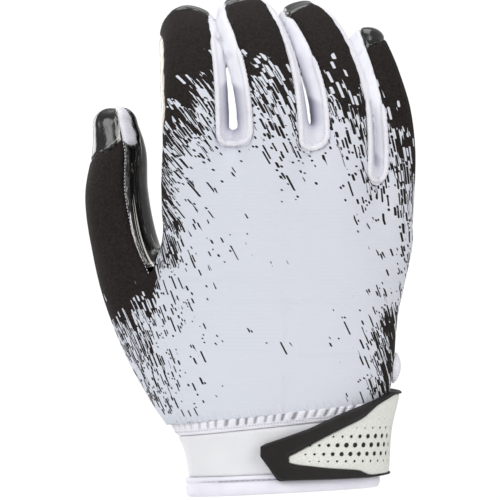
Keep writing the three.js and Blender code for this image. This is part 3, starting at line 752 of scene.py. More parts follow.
def grid_faces(rows, columns, wrap_rows=False, wrap_columns=False, turned=False):
    """Quads of a grid of points, closed in a direction where it is asked for."""
    i = np.arange(rows if wrap_rows else rows - 1)
    j = np.arange(columns if wrap_columns else columns - 1)
    i, j = (k.ravel() for k in np.meshgrid(i, j, indexing="ij"))
    i2, j2 = (i + 1) % rows, (j + 1) % columns
    quads = np.stack([i * columns + j, i2 * columns + j, i2 * columns + j2, i * columns + j2], axis=1)
    return quads[:, ::-1] if turned else quads


def seam_line(x):
    """Height of the middle of the wrist seam."""
    return SEAM_HEIGHT + SEAM_SLOPE * x


def hem_line(x):
    """Height of the hem's upper edge."""
    return HEM_TOP + HEM_SLOPE * x


def cuff_ring(profile, relief_of, count=720):
    """A closed profile carried round the sleeve. profile gives (out, low share, high share, rise): a point's
    distance out of the cloth, and its height between the hem's and the seam's lines plus a rise."""
    angle, around = even_angles(count)
    place = np.arange(count) / count * around
    out, base, rise = (column[None, :] for column in np.array(profile, float).T)
    a = np.repeat(angle[:, None], out.shape[1], 1)
    x = sleeve_ring(a, np.full_like(a, CUFF_LEVEL), 0)[..., 0]
    for _ in range(2):
        height = hem_line(x) * (1 - base) + seam_line(x) * base + rise
        x = sleeve_ring(a, height, 0)[..., 0]
    along = np.repeat(place[:, None], out.shape[1], 1)
    extra = relief_of(along, height, np.broadcast_to(out, height.shape), around, x)
    points = sleeve_ring(a, height, out + extra)
    flat = np.stack([along, height], axis=-1)
    return points.reshape(-1, 3), flat.reshape(-1, 2), grid_faces(count, out.shape[1], True, True)


def carried(path, normals, profile):
    """A profile for each point of a path, carried along it: out along the surface's normal and aside to the
    path's left hand, by the profile's two columns."""
    ahead = unit(np.gradient(path, axis=0))
    aside = unit(np.cross(normals, ahead))
    up = np.cross(ahead, aside)
    return path[:, None] + aside[:, None] * profile[..., :1] + up[:, None] * profile[..., 1:]


def even_path(path, step):
    """A polyline taken again at even steps along it."""
    length = length_along(path)
    count = max(int(length[-1] / step), 4)
    return columns_at(np.linspace(0, length[-1], count + 1), length, path)


def smooth_path(path, rounds):
    """Each point moved to the mean of itself and its neighbours, several times, the ends kept."""
    for _ in range(rounds):
        path = np.vstack([path[:1], (path[:-2] + 2 * path[1:-1] + path[2:]) / 4, path[-1:]])
    return path


def digit_edge(name, degrees, start, end, count=90):
    """A line down a digit at an angle round it, between two shares of its path."""
    path = PATHS[name]
    at = path_at(path, np.interp(np.linspace(start, end, count), path["share"], path["length"]))
    angle = np.radians(degrees)
    u = signed_power(np.sin(angle), 2 / CORNER) * at["a"]
    v = signed_power(np.cos(angle), 2 / CORNER) * at["b"]
    return at["centre"] + at["side"] * u[:, None] + at["back"] * v[:, None]


def roll_path(gap):
    """The middle line of a rolled edge: down the left digit's side, round the bottom and up the right's."""
    left, right, left_start, right_start, left_end, right_end = gap
    down = digit_edge(left, BACK_EDGE, left_start + 0.04, left_end, 60)[::-1]
    up = digit_edge(right, -BACK_EDGE, right_start + 0.04, right_end, 60)
    bottom = (down[-1] + up[0]) / 2
    bottom[2] = min(down[-1][2], up[0][2]) - 2.5
    t = np.linspace(0, 1, 40)[1:-1, None]
    turn = (1 - t) ** 2 * down[-1] + 2 * t * (1 - t) * bottom + t**2 * up[0]
    path = smooth_path(even_path(np.vstack([down, turn, up]), 0.5), 40)
    path = settle(path, 4)[0]
    path = smooth_path(even_path(path, ROLL_STEP), 12)
    return settle(path, 2)


def stitches(path, normals, pitch, length, radius, lean=0.0, lift=0.0):
    """Short threads along a path, one each pitch: each is a capsule of five rings of six points, its radius
    the root of the way to its ends, laid along the path or leaning from it by an angle in degrees."""
    steps = length_along(path)
    places = np.arange(pitch / 2, steps[-1], pitch)
    centre = columns_at(places, steps, path)
    up = unit(columns_at(places, steps, normals))
    ahead = columns_at(places, steps, np.gradient(path, axis=0))
    ahead = unit(ahead - up * (ahead * up).sum(1)[:, None])
    aside = np.cross(up, ahead)
    cos, sin = math.cos(math.radians(lean)), math.sin(math.radians(lean))
    ahead, aside = ahead * cos + aside * sin, aside * cos - ahead * sin
    share = np.array([-1, -0.8, 0, 0.8, 1])
    thick = radius * np.array([0.15, 0.75, 1, 0.75, 0.15])
    sides = np.arange(6) * math.pi / 3
    x = np.repeat(share * length / 2, 6)
    y = (thick[:, None] * np.cos(sides)).ravel()
    z = (thick[:, None] * np.sin(sides)).ravel() - 0.6 * radius * np.repeat(share**2, 6) + lift
    points = (centre[:, None] + ahead[:, None] * x[None, :, None] + aside[:, None] * y[None, :, None]
              + up[:, None] * z[None, :, None])
    one = grid_faces(5, 6, False, True)
    ends = np.array([[0, 1, 2, 3], [0, 3, 4, 5], [27, 26, 25, 24], [29, 28, 27, 24]])
    one = np.vstack([one, ends])
    faces = (one[None] + 30 * np.arange(len(places))[:, None, None]).reshape(-1, 4)
    return points.reshape(-1, 3), faces


def joined(parts):
    """Several sets of points and faces as one."""
    starts = np.cumsum([0] + [len(points) for points, _ in parts[:-1]])
    faces = [faces + start for (_, faces), start in zip(parts, starts)]
    return np.vstack([points for points, _ in parts]), np.vstack(faces)


def strap_point(across, height, out):
    """A point over the cuff: across is 0 at the strap's point, 1 at the wrist's edge, and past 1 the same way
    back on the palm side."""
    cx, _, a, _, _ = sleeve_at(height)
    mirrored = np.where(across > 1, 2 - across, across)
    share = np.clip((STRAP_POINT + (cx + a - STRAP_POINT) * mirrored - cx) / a, -1, 1)
    angle = np.arcsin(signed_power(share, CORNER / 2))
    angle = np.where(across > 1, math.pi - angle, angle)
    return sleeve_ring(angle, height, out)


ACROSS = np.linspace(-0.05, 1.75, 900)
STRAP_LINE = strap_point(ACROSS, np.full_like(ACROSS, 16.0), 2.0)
STRAP_LENGTH = length_along(STRAP_LINE)


def outline(table, count=700):
    """An outline of the strap laid flat: its lower edge out and its upper edge back, with rounded corners."""
    length = np.interp(table[:, 0], ACROSS, STRAP_LENGTH)
    place = np.linspace(length[0], length[-1], count)
    low = STRAP_BOTTOM + STRAP_HEIGHT * np.interp(place, length, table[:, 1])
    high = STRAP_BOTTOM + STRAP_HEIGHT * np.interp(place, length, table[:, 2])
    pad = 12
    kernel = np.hanning(2 * pad + 1)
    kernel /= kernel.sum()
    low, high = (np.convolve(np.pad(k, pad, mode="edge"), kernel, mode="valid") for k in (low, high))
    return place, low, high


def outline_distance(points, table):
    """Distance inside an outline of the strap laid flat, negative outside it."""
    place, low, high = outline(table, 240)
    ring = np.concatenate([np.stack([place, low], 1), np.stack([place, high], 1)[::-1]])
    start, end = ring, np.roll(ring, -1, 0)
    step = end - start
    length = np.maximum((step**2).sum(1), 1e-9)
    least = np.full(len(points), 1e9)
    for i in range(0, len(ring), 40):
        a, d, n = start[i:i + 40], step[i:i + 40], length[i:i + 40]
        q = points[:, None] - a
        t = np.clip((q * d).sum(2) / n, 0, 1)
        least = np.minimum(least, np.linalg.norm(q - d * t[..., None], axis=2).min(1))
    inside = (points[:, 1] > np.interp(points[:, 0], place, low)) & (
        points[:, 1] < np.interp(points[:, 0], place, high)) & (
        points[:, 0] > place[0]) & (points[:, 0] < place[-1])
    return np.where(inside, least, -least)


def two_sided(rows, columns):
    """Faces of a closed plate of two grids of points, one after the other: the front, the back turned over,
    and a rim of quads between their borders."""
    front = grid_faces(rows, columns)
    count = rows * columns
    grid = np.arange(count).reshape(rows, columns)
    rim = np.concatenate([grid[:-1, 0], grid[-1, :-1], grid[1:, -1][::-1], grid[0, 1:][::-1]])
    after = np.roll(rim, -1)
    sides = np.stack([rim, rim + count, after + count, after], axis=1)
    return np.vstack([front, front[:, ::-1] + count, sides])


def strap_plate(table, step, surface_of, inner):
    """A closed plate over the cuff with an outline: outside at the heights surface_of gives for the places
    laid flat, inside at one distance from the cloth."""
    place, low, high = outline(table)
    rows = int((place[-1] - place[0]) / step)
    columns = int((high - low).max() / step)
    at = np.linspace(place[0], place[-1], rows)
    share = (1 - np.cos(np.linspace(0, math.pi, columns))) / 2
    share = 0.6 * np.linspace(0, 1, columns) + 0.4 * share
    bottom, top = np.interp(at, place, low), np.interp(at, place, high)
    flat = np.stack([np.repeat(at[:, None], columns, 1),
                     bottom[:, None] + (top - bottom)[:, None] * share], axis=-1).reshape(-1, 2)
    across = np.interp(flat[:, 0], STRAP_LENGTH, ACROSS)
    front, mask = surface_of(flat, outline_distance(flat, table))
    points = np.vstack([strap_point(across, flat[:, 1], front), strap_point(across, flat[:, 1], inner)])
    return points, np.vstack([flat, flat]), two_sided(rows, columns), np.tile(mask, 2)


# Rows of holes: height, where the row starts, radius of its largest hole, and half a pitch aside or not.
HOLES = [(29.0, 31, 0.32, 0), (25.4, 23.5, 0.58, 1), (21.9, 14.5, 0.92, 0), (18.3, 5.0, 0.98, 1),
         (14.6, 3.0, 0.88, 0), (11.6, 4.5, 0.48, 1)]


def frame_front(flat, edge):
    """The moulded rim: rounded at its outer edge, with a ledge sunk for the pierced panel."""
    inside = outline_distance(flat, PANEL_OUTLINE)
    round_edge = np.sqrt(np.clip(1 - (1 - np.clip(edge / 1.1, 0, 1)) ** 2, 0, 1))
    wall = FRAME_WALL * (1 - 0.82 * smooth(-0.15, 0.35, inside))
    lip = 0.22 * bump(inside, -0.7, 0.5)
    return FRAME_IN + (wall + lip) * (0.12 + 0.88 * round_edge), inside


def panel_front(flat, edge):
    """The panel: low pillow over its middle, rounded into the rim, with rows of holes half a pitch apart."""
    hole = np.zeros(len(flat))
    x0 = np.interp(0.0, STRAP_LINE[:500, 0], STRAP_LENGTH[:500])
    for height, first, size, aside in HOLES:
        shift = aside * HOLE_PITCH / 2
        at = (flat[:, 0] - x0 + shift) / HOLE_PITCH
        off = np.hypot((at - np.round(at)) * HOLE_PITCH, flat[:, 1] - height)
        centre = np.round(at) * HOLE_PITCH - shift
        there = (centre > first - 1.5) * (centre < STRAP_LENGTH[-1] - x0 - 16)
        radius = size * (0.36 + 0.64 * smooth(first - 1, first + 17, centre))
        radius = radius * (1 - 0.4 * smooth(38, 58, centre))
        hole = np.maximum(hole, smooth(0.2, -0.16, off - radius) * there)
    front = FRAME_IN + 0.3 + PANEL_WALL * np.sqrt(np.clip(1 - (1 - np.clip(edge / 0.7, 0, 1)) ** 2, 0, 1))
    front += 0.25 * smooth(0, 4, edge) - 0.9 * hole
    return np.maximum(front, FRAME_IN + 0.3), hole


# Pieces.

def put(name, points, faces, material, slot, nodes=(), uv=None, data=None, wall=0.0, weld=False, lines=None,
        held=None):
    """A smooth mesh piece in metres from points in millimetres, with its cloth coordinates as a UV map and
    other values known at its points as attributes. It rides with the glove and may stand for CAD nodes. With
    held, a cut's length and width are worked out from its cloth coordinates, the width kept within what its
    area needs; nothing uses them."""
    mesh = bpy.data.meshes.new(name)
    sides = faces.shape[1]
    mesh.vertices.add(len(points))
    mesh.vertices.foreach_set("co", (np.asarray(points, np.float64) * MM).astype(np.float32).ravel())
    mesh.loops.add(faces.size)
    mesh.loops.foreach_set("vertex_index", faces.astype(np.int32).ravel())
    mesh.polygons.add(len(faces))
    mesh.polygons.foreach_set("loop_start", np.arange(0, faces.size, sides, dtype=np.int32))
    mesh.update(calc_edges=True)
    mesh.polygons.foreach_set("use_smooth", np.ones(len(faces), bool))
    if uv is not None:
        layer = mesh.uv_layers.new(name="cloth")
        layer.data.foreach_set("uv", np.asarray(uv)[faces.ravel()].astype(np.float32).ravel())
    if lines is not None:
        layer = mesh.uv_layers.new(name="print")
        layer.data.foreach_set("uv", np.asarray(lines)[faces.ravel()].astype(np.float32).ravel())
    for key, values in (data or {}).items():
        attribute = mesh.attributes.new(key, "FLOAT", "POINT")
        attribute.data.foreach_set("value", np.asarray(values, np.float32))
    if weld:
        work = bmesh.new()
        work.from_mesh(mesh)
        bmesh.ops.remove_doubles(work, verts=work.verts, dist=1e-6)
        bmesh.ops.recalc_face_normals(work, faces=work.faces)
        work.to_mesh(mesh)
        work.free()
    piece = bpy.data.objects.new(name, mesh)
    bpy.context.scene.collection.objects.link(piece)
    mesh.materials.append(material)
    if wall:
        solid = piece.modifiers.new("wall", "SOLIDIFY")
        solid.thickness = wall * MM
        solid.offset = -1
        solid.use_even_offset = False
    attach(piece, "root")
    if nodes:
        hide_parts(*nodes)
    if held:
        area = np.zeros(len(faces), np.float32)
        mesh.polygons.foreach_get("area", area[:len(mesh.polygons)])
        area = float(area.sum()) * (1 if wall else 0.5)
        width, length = np.ptp(uv, axis=0) * MM
        width = float(np.clip(width, 1.15 * area / length, 2.8 * area / length))
    return piece


def linear(code):
    """An sRGB hex colour as linear red, green, blue and full alpha."""
    c = np.array([int(code[i:i + 2], 16) for i in (0, 2, 4)]) / 255
    c = np.where(c <= 0.04045, c / 12.92, ((c + 0.055) / 1.055) ** 2.4)
    return (float(c[0]), float(c[1]), float(c[2]), 1.0)


def add(tree, kind, inputs=None, output=None, **settings):
    """Adds a node: settings are its own, inputs its sockets by name or number, each a value or the output
    that feeds it. Gives back the named output, or else its first one in use."""
    made = tree.nodes.new("ShaderNode" + kind)
    for key, value in settings.items():
        setattr(made, key, value)
    for key, value in (inputs or {}).items():
        socket = made.inputs[key]
        if isinstance(value, bpy.types.NodeSocket):
            tree.links.new(value, socket)
        else:
            socket.default_value = value
    return made.outputs[output] if output else next(socket for socket in made.outputs if socket.enabled)


def new_material(name, **sockets):
    """A material of one Principled shader whose constant sockets are set here."""
    material = bpy.data.materials.new(name)
    material.use_nodes = True
    tree = material.node_tree
    shader = tree.nodes["Principled BSDF"]
    for key, value in sockets.items():
        shader.inputs[key.replace("_", " ")].default_value = value
    return material, tree, shader


def knit(tree, wale, course, depth, fuzz_scale=900.0):
    """Height of a fine knit: ribs across the cloth a course apart, broken into loops a wale apart, with fuzz.
    Distances are in millimetres on the cloth's UV map, and are usual ones for such knits, not counted."""
    uv = add(tree, "UVMap", uv_map="cloth")
    axes = add(tree, "SeparateXYZ", {0: uv}).node
    across = add(tree, "Math", {0: axes.outputs["X"], 1: 2 * math.pi / wale}, operation="MULTIPLY")
    up = add(tree, "Math", {0: axes.outputs["Y"], 1: 2 * math.pi / course}, operation="MULTIPLY")
    wave = add(tree, "Math", {0: add(tree, "Math", {0: across}, operation="SINE")}, operation="ABSOLUTE")
    shift = add(tree, "Math", {0: wave, 1: 0.9}, operation="MULTIPLY")
    rib = add(tree, "Math", {0: add(tree, "Math", {0: up, 1: shift}, operation="ADD")}, operation="SINE")
    loop = add(tree, "Math", {0: wave, 1: 0.35, 2: rib}, operation="MULTIPLY_ADD")
    place = add(tree, "TexCoord", output="Object")
    fuzz = add(tree, "TexNoise", {"Vector": place, "Scale": fuzz_scale, "Detail": 3.0})
    height = add(tree, "Math", {0: fuzz, 1: 0.9, 2: loop}, operation="MULTIPLY_ADD")
    bumped = add(tree, "Bump", {"Height": height, "Distance": depth * MM})
    return bumped, rib, fuzz, axes, place


def knit_material(name, light, shade, wale, course, depth, fuzz_scale=900.0, deep=None):
    """Plain knitted cloth: to the eye a matt, soft surface that takes light evenly, with a faint rib. It has
    a light colour, a shade colour for painted shade between the ribs and for slow patches of uneven tone, and
    a darker colour for painted shade down in a gap, a fold or a groove."""
    material, tree, shader = new_material(name, Roughness=0.85, Sheen_Weight=0.25, Sheen_Roughness=0.5)
    bumped, rib, _, _, place = knit(tree, wale, course, depth, fuzz_scale)
    tree.links.new(bumped, shader.inputs["Normal"])
    slow = add(tree, "TexNoise", {"Vector": place, "Scale": 60.0, "Detail": 2.0})
    patch = add(tree, "MapRange", {0: slow, 1: 0.35, 2: 0.65, 3: 0.0, 4: 0.35})
    # Painted shade: the cloth darkens towards the shade colour in the hollows between the ribs; the slow
    # patches are uneven tone.
    between = add(tree, "MapRange", {0: rib, 1: -1.0, 2: 0.4, 3: 0.25, 4: 0.0})
    dark = add(tree, "Math", {0: between, 1: patch}, operation="ADD")
    colour = add(tree, "Mix", {0: dark, 6: linear(light), 7: linear(shade)}, data_type="RGBA")
    # Painted shade: where the deep attribute is set, in a gap, a gather's fold or a groove, the colour turns
    # to the darker painted-shade colour.
    if deep:
        down = add(tree, "Attribute", output="Fac", attribute_name="deep")
        colour = add(tree, "Mix", {0: down, 6: colour, 7: linear(deep)}, data_type="RGBA")
    tree.links.new(colour, shader.inputs["Base Color"])
    return material


def strokes(tree, across, along, density, width, shortest, longest, seed):
    """Short strokes with round ends, a row each width, and the chance of one in each cell of a row. Where the
    print is dense the strokes are bare cloth in ink, and elsewhere they are ink on the cloth."""
    row_place = add(tree, "Math", {0: across, 1: 1 / width}, operation="MULTIPLY")
    row = add(tree, "Math", {0: row_place}, operation="FLOOR")
    off = add(tree, "Math", {0: add(tree, "Math", {0: row_place}, operation="FRACT"), 1: 0.5},
              operation="SUBTRACT")
    own = add(tree, "TexWhiteNoise", {"W": add(tree, "Math", {0: row, 1: seed}, operation="ADD")},
              noise_dimensions="1D")
    length = add(tree, "MapRange", {0: own, 1: 0.0, 2: 1.0, 3: shortest, 4: longest})
    place = add(tree, "Math", {0: own, 1: 531.0, 2: along}, operation="MULTIPLY_ADD")
    place = add(tree, "Math", {0: place, 1: length}, operation="DIVIDE")
    cell = add(tree, "Math", {0: place}, operation="FLOOR")
    part = add(tree, "Math", {0: add(tree, "Math", {0: place}, operation="FRACT"), 1: 0.5},
               operation="SUBTRACT")
    chance = add(tree, "TexWhiteNoise", {"Vector": add(tree, "CombineXYZ", {0: row, 1: cell, 2: seed})},
                 output="Value", noise_dimensions="3D")
    three = add(tree, "SeparateColor", {0: chance.node.outputs["Color"]}).node
    half = add(tree, "MapRange", {0: three.outputs[0], 1: 0.0, 2: 1.0, 3: 0.2, 4: 0.56})
    half = add(tree, "Math", {0: half, 1: length}, operation="MULTIPLY")
    radius = add(tree, "MapRange", {0: three.outputs[1], 1: 0.0, 2: 1.0, 3: 0.27 * width, 4: 0.46 * width})
    way = add(tree, "Math", {0: add(tree, "Math", {0: part}, operation="ABSOLUTE"), 1: length},
              operation="MULTIPLY")
    over = add(tree, "Math", {0: way, 1: half}, operation="SUBTRACT")
    over = add(tree, "Math", {0: add(tree, "Math", {0: over, 1: radius}, operation="ADD"), 1: 0.0},
               operation="MAXIMUM")
    off = add(tree, "Math", {0: off, 1: width}, operation="MULTIPLY")
    square = add(tree, "Math", {0: off, 1: off}, operation="MULTIPLY")
    size = add(tree, "Math", {0: add(tree, "Math", {0: over, 1: over, 2: square}, operation="MULTIPLY_ADD")},
               operation="SQRT")
    inside = add(tree, "Math", {0: radius, 1: size}, operation="SUBTRACT")
    shape = add(tree, "MapRange", {0: inside, 1: -0.06, 2: 0.06})
    dark_chance = add(tree, "Math", {0: density, 1: 1.5}, operation="MULTIPLY")
    dark = add(tree, "Math", {0: chance, 1: dark_chance}, operation="LESS_THAN")
    dark = add(tree, "Math", {0: dark, 1: shape}, operation="MULTIPLY")
    light_chance = add(tree, "Math", {0: density, 1: -1.5, 2: 1.5}, operation="MULTIPLY_ADD")
    light = add(tree, "Math", {0: chance, 1: light_chance}, operation="LESS_THAN")
    light = add(tree, "Math", {0: light, 1: shape}, operation="MULTIPLY")
    light = add(tree, "Math", {0: 1.0, 1: light}, operation="SUBTRACT")
    return dark, light


def print_cloth_material():
    """Warp-knitted polyester with a black print of strokes: matt ink that lets the fine ribs through."""
    material, tree, shader = new_material("knit_polyester_with_printed_strokes", Roughness=0.72,
                                          Specular_IOR_Level=0.1, Sheen_Weight=0.02, Sheen_Roughness=0.4)
    bumped, rib, fuzz, axes, place = knit(tree, 0.42, 0.56, 0.02)
    spot = add(tree, "SeparateXYZ", {0: place}).node
    rise = add(tree, "Math", {0: spot.outputs["X"], 1: -SEAM_SLOPE, 2: spot.outputs["Z"]},
               operation="MULTIPLY_ADD")
    rise = add(tree, "Math", {0: rise, 1: SEAM_HEIGHT * MM}, operation="SUBTRACT")
    near = add(tree, "MapRange", {0: rise, 1: 0.0022, 2: 0.0068, 3: 1.0, 4: 0.0})
    sway = add(tree, "TexNoise", {"Vector": place, "Scale": 120.0, "Detail": 1.0})
    turn = add(tree, "Math", {0: axes.outputs["X"], 1: 2 * math.pi / 3.4}, operation="MULTIPLY")
    turn = add(tree, "Math", {0: rise, 1: 900.0, 2: turn}, operation="MULTIPLY_ADD")
    turn = add(tree, "Math", {0: sway, 1: 5.0, 2: turn}, operation="MULTIPLY_ADD")
    gather = add(tree, "Math", {0: add(tree, "Math", {0: turn}, operation="SINE"), 1: near},
                 operation="MULTIPLY")
    gathered = add(tree, "Bump", {"Height": gather, "Normal": bumped, "Distance": 0.0003})
    tree.links.new(gathered, shader.inputs["Normal"])
    ink = add(tree, "Attribute", output="Fac", attribute_name="ink")
    lines = add(tree, "SeparateXYZ", {0: add(tree, "UVMap", uv_map="print")}).node
    across, along = lines.outputs["X"], lines.outputs["Y"]
    patches = add(tree, "CombineXYZ", {0: add(tree, "Math", {0: across, 1: 0.3}, operation="MULTIPLY"),
                                       1: add(tree, "Math", {0: along, 1: 0.09}, operation="MULTIPLY")})
    slow = add(tree, "TexNoise", {"Vector": patches, "Scale": 1.0, "Detail": 1.0})
    slow = add(tree, "MapRange", {0: slow, 1: 0.3, 2: 0.7, 3: -0.14, 4: 0.14})
    density = add(tree, "Math", {0: slow, 1: ink}, operation="ADD")
    printed = add(tree, "MapRange", {0: ink, 1: 0.0, 2: 0.04})
    density = add(tree, "Math", {0: density, 1: printed}, operation="MULTIPLY")
    dark, light = strokes(tree, across, along, density, 1.2, 5.0, 17.0, 3.0)
    thin = add(tree, "Math", {0: density, 1: 0.45}, operation="MULTIPLY")
    dots, _ = strokes(tree, across, along, thin, 1.2, 1.8, 3.8, 41.0)
    dark = add(tree, "Math", {0: dark, 1: dots}, operation="MAXIMUM")
    fingers = add(tree, "CombineXYZ", {0: add(tree, "Math", {0: across, 1: 0.7}, operation="MULTIPLY"),
                                       1: add(tree, "Math", {0: along, 1: 0.05}, operation="MULTIPLY")})
    fingers = add(tree, "TexNoise", {"Vector": fingers, "Scale": 1.0, "Detail": 1.0})
    fingers = add(tree, "MapRange", {0: fingers, 1: 0.3, 2: 0.7, 3: 0.22, 4: 0.86})
    side = add(tree, "Math", {0: fingers, 1: density}, operation="LESS_THAN")
    bare = add(tree, "Math", {0: 1.0, 1: side}, operation="SUBTRACT")
    dark = add(tree, "Math", {0: bare, 1: dark}, operation="MULTIPLY")
    mask = add(tree, "Math", {0: side, 1: light, 2: dark}, operation="MULTIPLY_ADD")
    # Painted shading: the white is a touch darker and bluer towards the thumb's side of the back, lighter
    # towards the little finger's.
    left = add(tree, "MapRange", {0: axes.outputs["X"], 1: -60.0, 2: 50.0})
    white = add(tree, "Mix", {0: left, 6: linear("cfd3dc"), 7: linear("d3d5dd")}, data_type="RGBA")
    # Painted shade: the white darkens to blue-grey in the hollows between the ribs.
    between = add(tree, "MapRange", {0: rib, 1: -1.0, 2: 0.4, 3: 0.1, 4: 0.0})
    white = add(tree, "Mix", {0: between, 6: white, 7: linear("b4b7c6")}, data_type="RGBA")
    worn = add(tree, "MapRange", {0: fuzz, 1: 0.35, 2: 0.7})
    black = add(tree, "Mix", {0: worn, 6: linear("1b1716"), 7: linear("2b2523")}, data_type="RGBA")
    base = add(tree, "Mix", {0: mask, 6: white, 7: black}, data_type="RGBA")
    tree.links.new(base, shader.inputs["Base Color"])
    return material


def grip_material(name, pale):
    """Smooth cast silicone over cloth: black and wet-looking, with faint waves, and on the thumb a few pale
    printed lines that run along it."""
    material, tree, shader = new_material(name, Roughness=0.16, IOR=1.43, Coat_Weight=0.6,
                                          Coat_Roughness=0.06)
    place = add(tree, "TexCoord", output="Object")
    wave = add(tree, "TexNoise", {"Vector": place, "Scale": 160.0, "Detail": 2.0})
    fine = add(tree, "TexNoise", {"Vector": place, "Scale": 1400.0, "Detail": 2.0})
    height = add(tree, "Math", {0: fine, 1: 0.12, 2: wave}, operation="MULTIPLY_ADD")
    tree.links.new(add(tree, "Bump", {"Height": height, "Distance": 0.0006, "Strength": 0.5}),
                   shader.inputs["Normal"])
    streaks = add(tree, "SeparateXYZ", {0: add(tree, "UVMap", uv_map="cloth")}).node
    wide = add(tree, "Math", {0: streaks.outputs["X"], 1: 0.75}, operation="MULTIPLY")
    long = add(tree, "Math", {0: streaks.outputs["Y"], 1: 0.02}, operation="MULTIPLY")
    drawn = add(tree, "CombineXYZ", {0: wide, 1: long})
    lines = add(tree, "TexNoise", {"Vector": drawn, "Scale": 1.0, "Detail": 1.5, "Distortion": 0.3})
    lines = add(tree, "Math", {0: lines, 1: add(tree, "MapRange", {0: streaks.outputs["X"], 1: 4.0, 2: 5.0})},
                operation="MULTIPLY")
    slow = add(tree, "MapRange", {0: wave, 1: 0.4, 2: 0.7})
    base = add(tree, "Mix", {0: slow, 6: linear("0b0a0a"), 7: linear("161312")}, data_type="RGBA")
    if pale:
        mask = add(tree, "MapRange", {0: lines, 1: 0.64, 2: 0.655})
        edge = add(tree, "Math", {0: lines, 1: 0.45}, operation="SUBTRACT")
        edge = add(tree, "Math", {0: edge}, operation="ABSOLUTE")
        edge = add(tree, "MapRange", {0: edge, 1: 0.003, 2: 0.006, 3: 0.4, 4: 0.0})
        mask = add(tree, "Math", {0: mask, 1: edge}, operation="MAXIMUM")
        base = add(tree, "Mix", {0: mask, 6: base, 7: linear("cfccc4")}, data_type="RGBA")
    line = add(tree, "Attribute", output="Fac", attribute_name="pale")
    line = add(tree, "MapRange", {0: line, 1: 0.3, 2: 0.5})
    base = add(tree, "Mix", {0: line, 6: base, 7: linear("e6dbcf")}, data_type="RGBA")
    tree.links.new(base, shader.inputs["Base Color"])
    return material


def strap_material():
    """Injection-moulded thermoplastic rubber: near black and satin, so that edges catch a soft line of light,
    with a fine grain that the mould leaves."""
    material, tree, shader = new_material("moulded_rubber", Roughness=0.42, Specular_IOR_Level=0.25)
    place = add(tree, "TexCoord", output="Object")
    grain = add(tree, "TexNoise", {"Vector": place, "Scale": 2200.0, "Detail": 2.0})
    tree.links.new(add(tree, "Bump", {"Height": grain, "Distance": 0.0001, "Strength": 0.6}),
                   shader.inputs["Normal"])
    worn = add(tree, "TexNoise", {"Vector": place, "Scale": 90.0, "Detail": 3.0})
    worn = add(tree, "MapRange", {0: worn, 1: 0.35, 2: 0.7})
    base = add(tree, "Mix", {0: worn, 6: linear("161413"), 7: linear("211e1d")}, data_type="RGBA")
    tree.links.new(base, shader.inputs["Base Color"])
    return material


def pierced_material():
    """Pierced synthetic leather: off-white and faintly grained, its holes showing the black backing."""
    material, tree, shader = new_material("pierced_synthetic_leather", Roughness=0.6)
    place = add(tree, "TexCoord", output="Object")
    grain = add(tree, "TexVoronoi", {"Vector": place, "Scale": 1500.0})
    tree.links.new(add(tree, "Bump", {"Height": grain, "Distance": 0.00008, "Strength": 0.5}),
                   shader.inputs["Normal"])
    hole = add(tree, "Attribute", output="Fac", attribute_name="hole")
    raised = add(tree, "MapRange", {0: grain, 1: 0.1, 2: 0.6})
    base = add(tree, "Mix", {0: raised, 6: linear("cbccc4"), 7: linear("dddfd8")}, data_type="RGBA")
    inside = add(tree, "MapRange", {0: hole, 1: 0.35, 2: 0.6})
    base = add(tree, "Mix", {0: inside, 6: base, 7: linear("141211")}, data_type="RGBA")
    tree.links.new(base, shader.inputs["Base Color"])
    return material


def thread_material():
    """Spun polyester sewing thread: off-white, softly shining, with its twist as fine slanting ridges."""
    material, tree, shader = new_material("polyester_thread", Roughness=0.5, Sheen_Weight=0.2)
    place = add(tree, "TexCoord", output="Object")
    twist = add(tree, "TexNoise", {"Vector": place, "Scale": 3000.0, "Detail": 1.0})
    tree.links.new(add(tree, "Bump", {"Height": twist, "Distance": 0.00006, "Strength": 0.5}),
                   shader.inputs["Normal"])
    raised = add(tree, "MapRange", {0: twist, 1: 0.35, 2: 0.65})
    base = add(tree, "Mix", {0: raised, 6: linear("bdbcc8"), 7: linear("dddce4")}, data_type="RGBA")
    tree.links.new(base, shader.inputs["Base Color"])
    return material


PRINT_CLOTH = print_cloth_material()
GRIP = grip_material("cast_silicone_grip", False)
THUMB_GRIP = grip_material("cast_silicone_grip_with_pale_lines", True)
# Polyester and elastane knit: the palest cloth, with blue-grey painted shade where it sinks between the
# fingers.
STRIP_KNIT = knit_material("elastane_knit_strip", "f3f3f9", "d6d6e2", 0.45, 0.6, 0.03, deep="68688c")
# Rolled elastic edging: coarser loops and more fuzz, so its edge looks soft and broken. Its darker grey is
# painted shade in the valleys of the wrist seam's gathers.
EDGE_KNIT = knit_material("rolled_knit_edging", "f4f3f9", "dddbe6", 0.7, 0.7, 0.08, fuzz_scale=1800.0,
                          deep="90919b")
# Brushed knit: almost no rib shows, so the cuff looks plain and even, a little greyer than the strips.
CUFF_KNIT = knit_material("brushed_cuff_knit", "e0e0e2", "d3d4d9", 0.45, 0.6, 0.012)
THREAD = thread_material()
# Two layers of the same knit folded over: a touch of lavender, with painted shade along the groove of its
# stitch line.
HEM_KNIT = knit_material("folded_hem_knit", "ebeaf3", "d6d4e0", 0.5, 0.5, 0.02, deep="8d8a9c")
STRAP_RUBBER = strap_material()
PIERCED = pierced_material()

# The shell: one body cut along its seams.
body = body_mesh()
strips = [lambda m, k=k: -m[k] for k in STRIPS]


def back_field(m):
    """Distance inside the back of the hand: towards its outer edge and towards the fingertips."""
    return np.minimum(m["side"], -m["tip"])


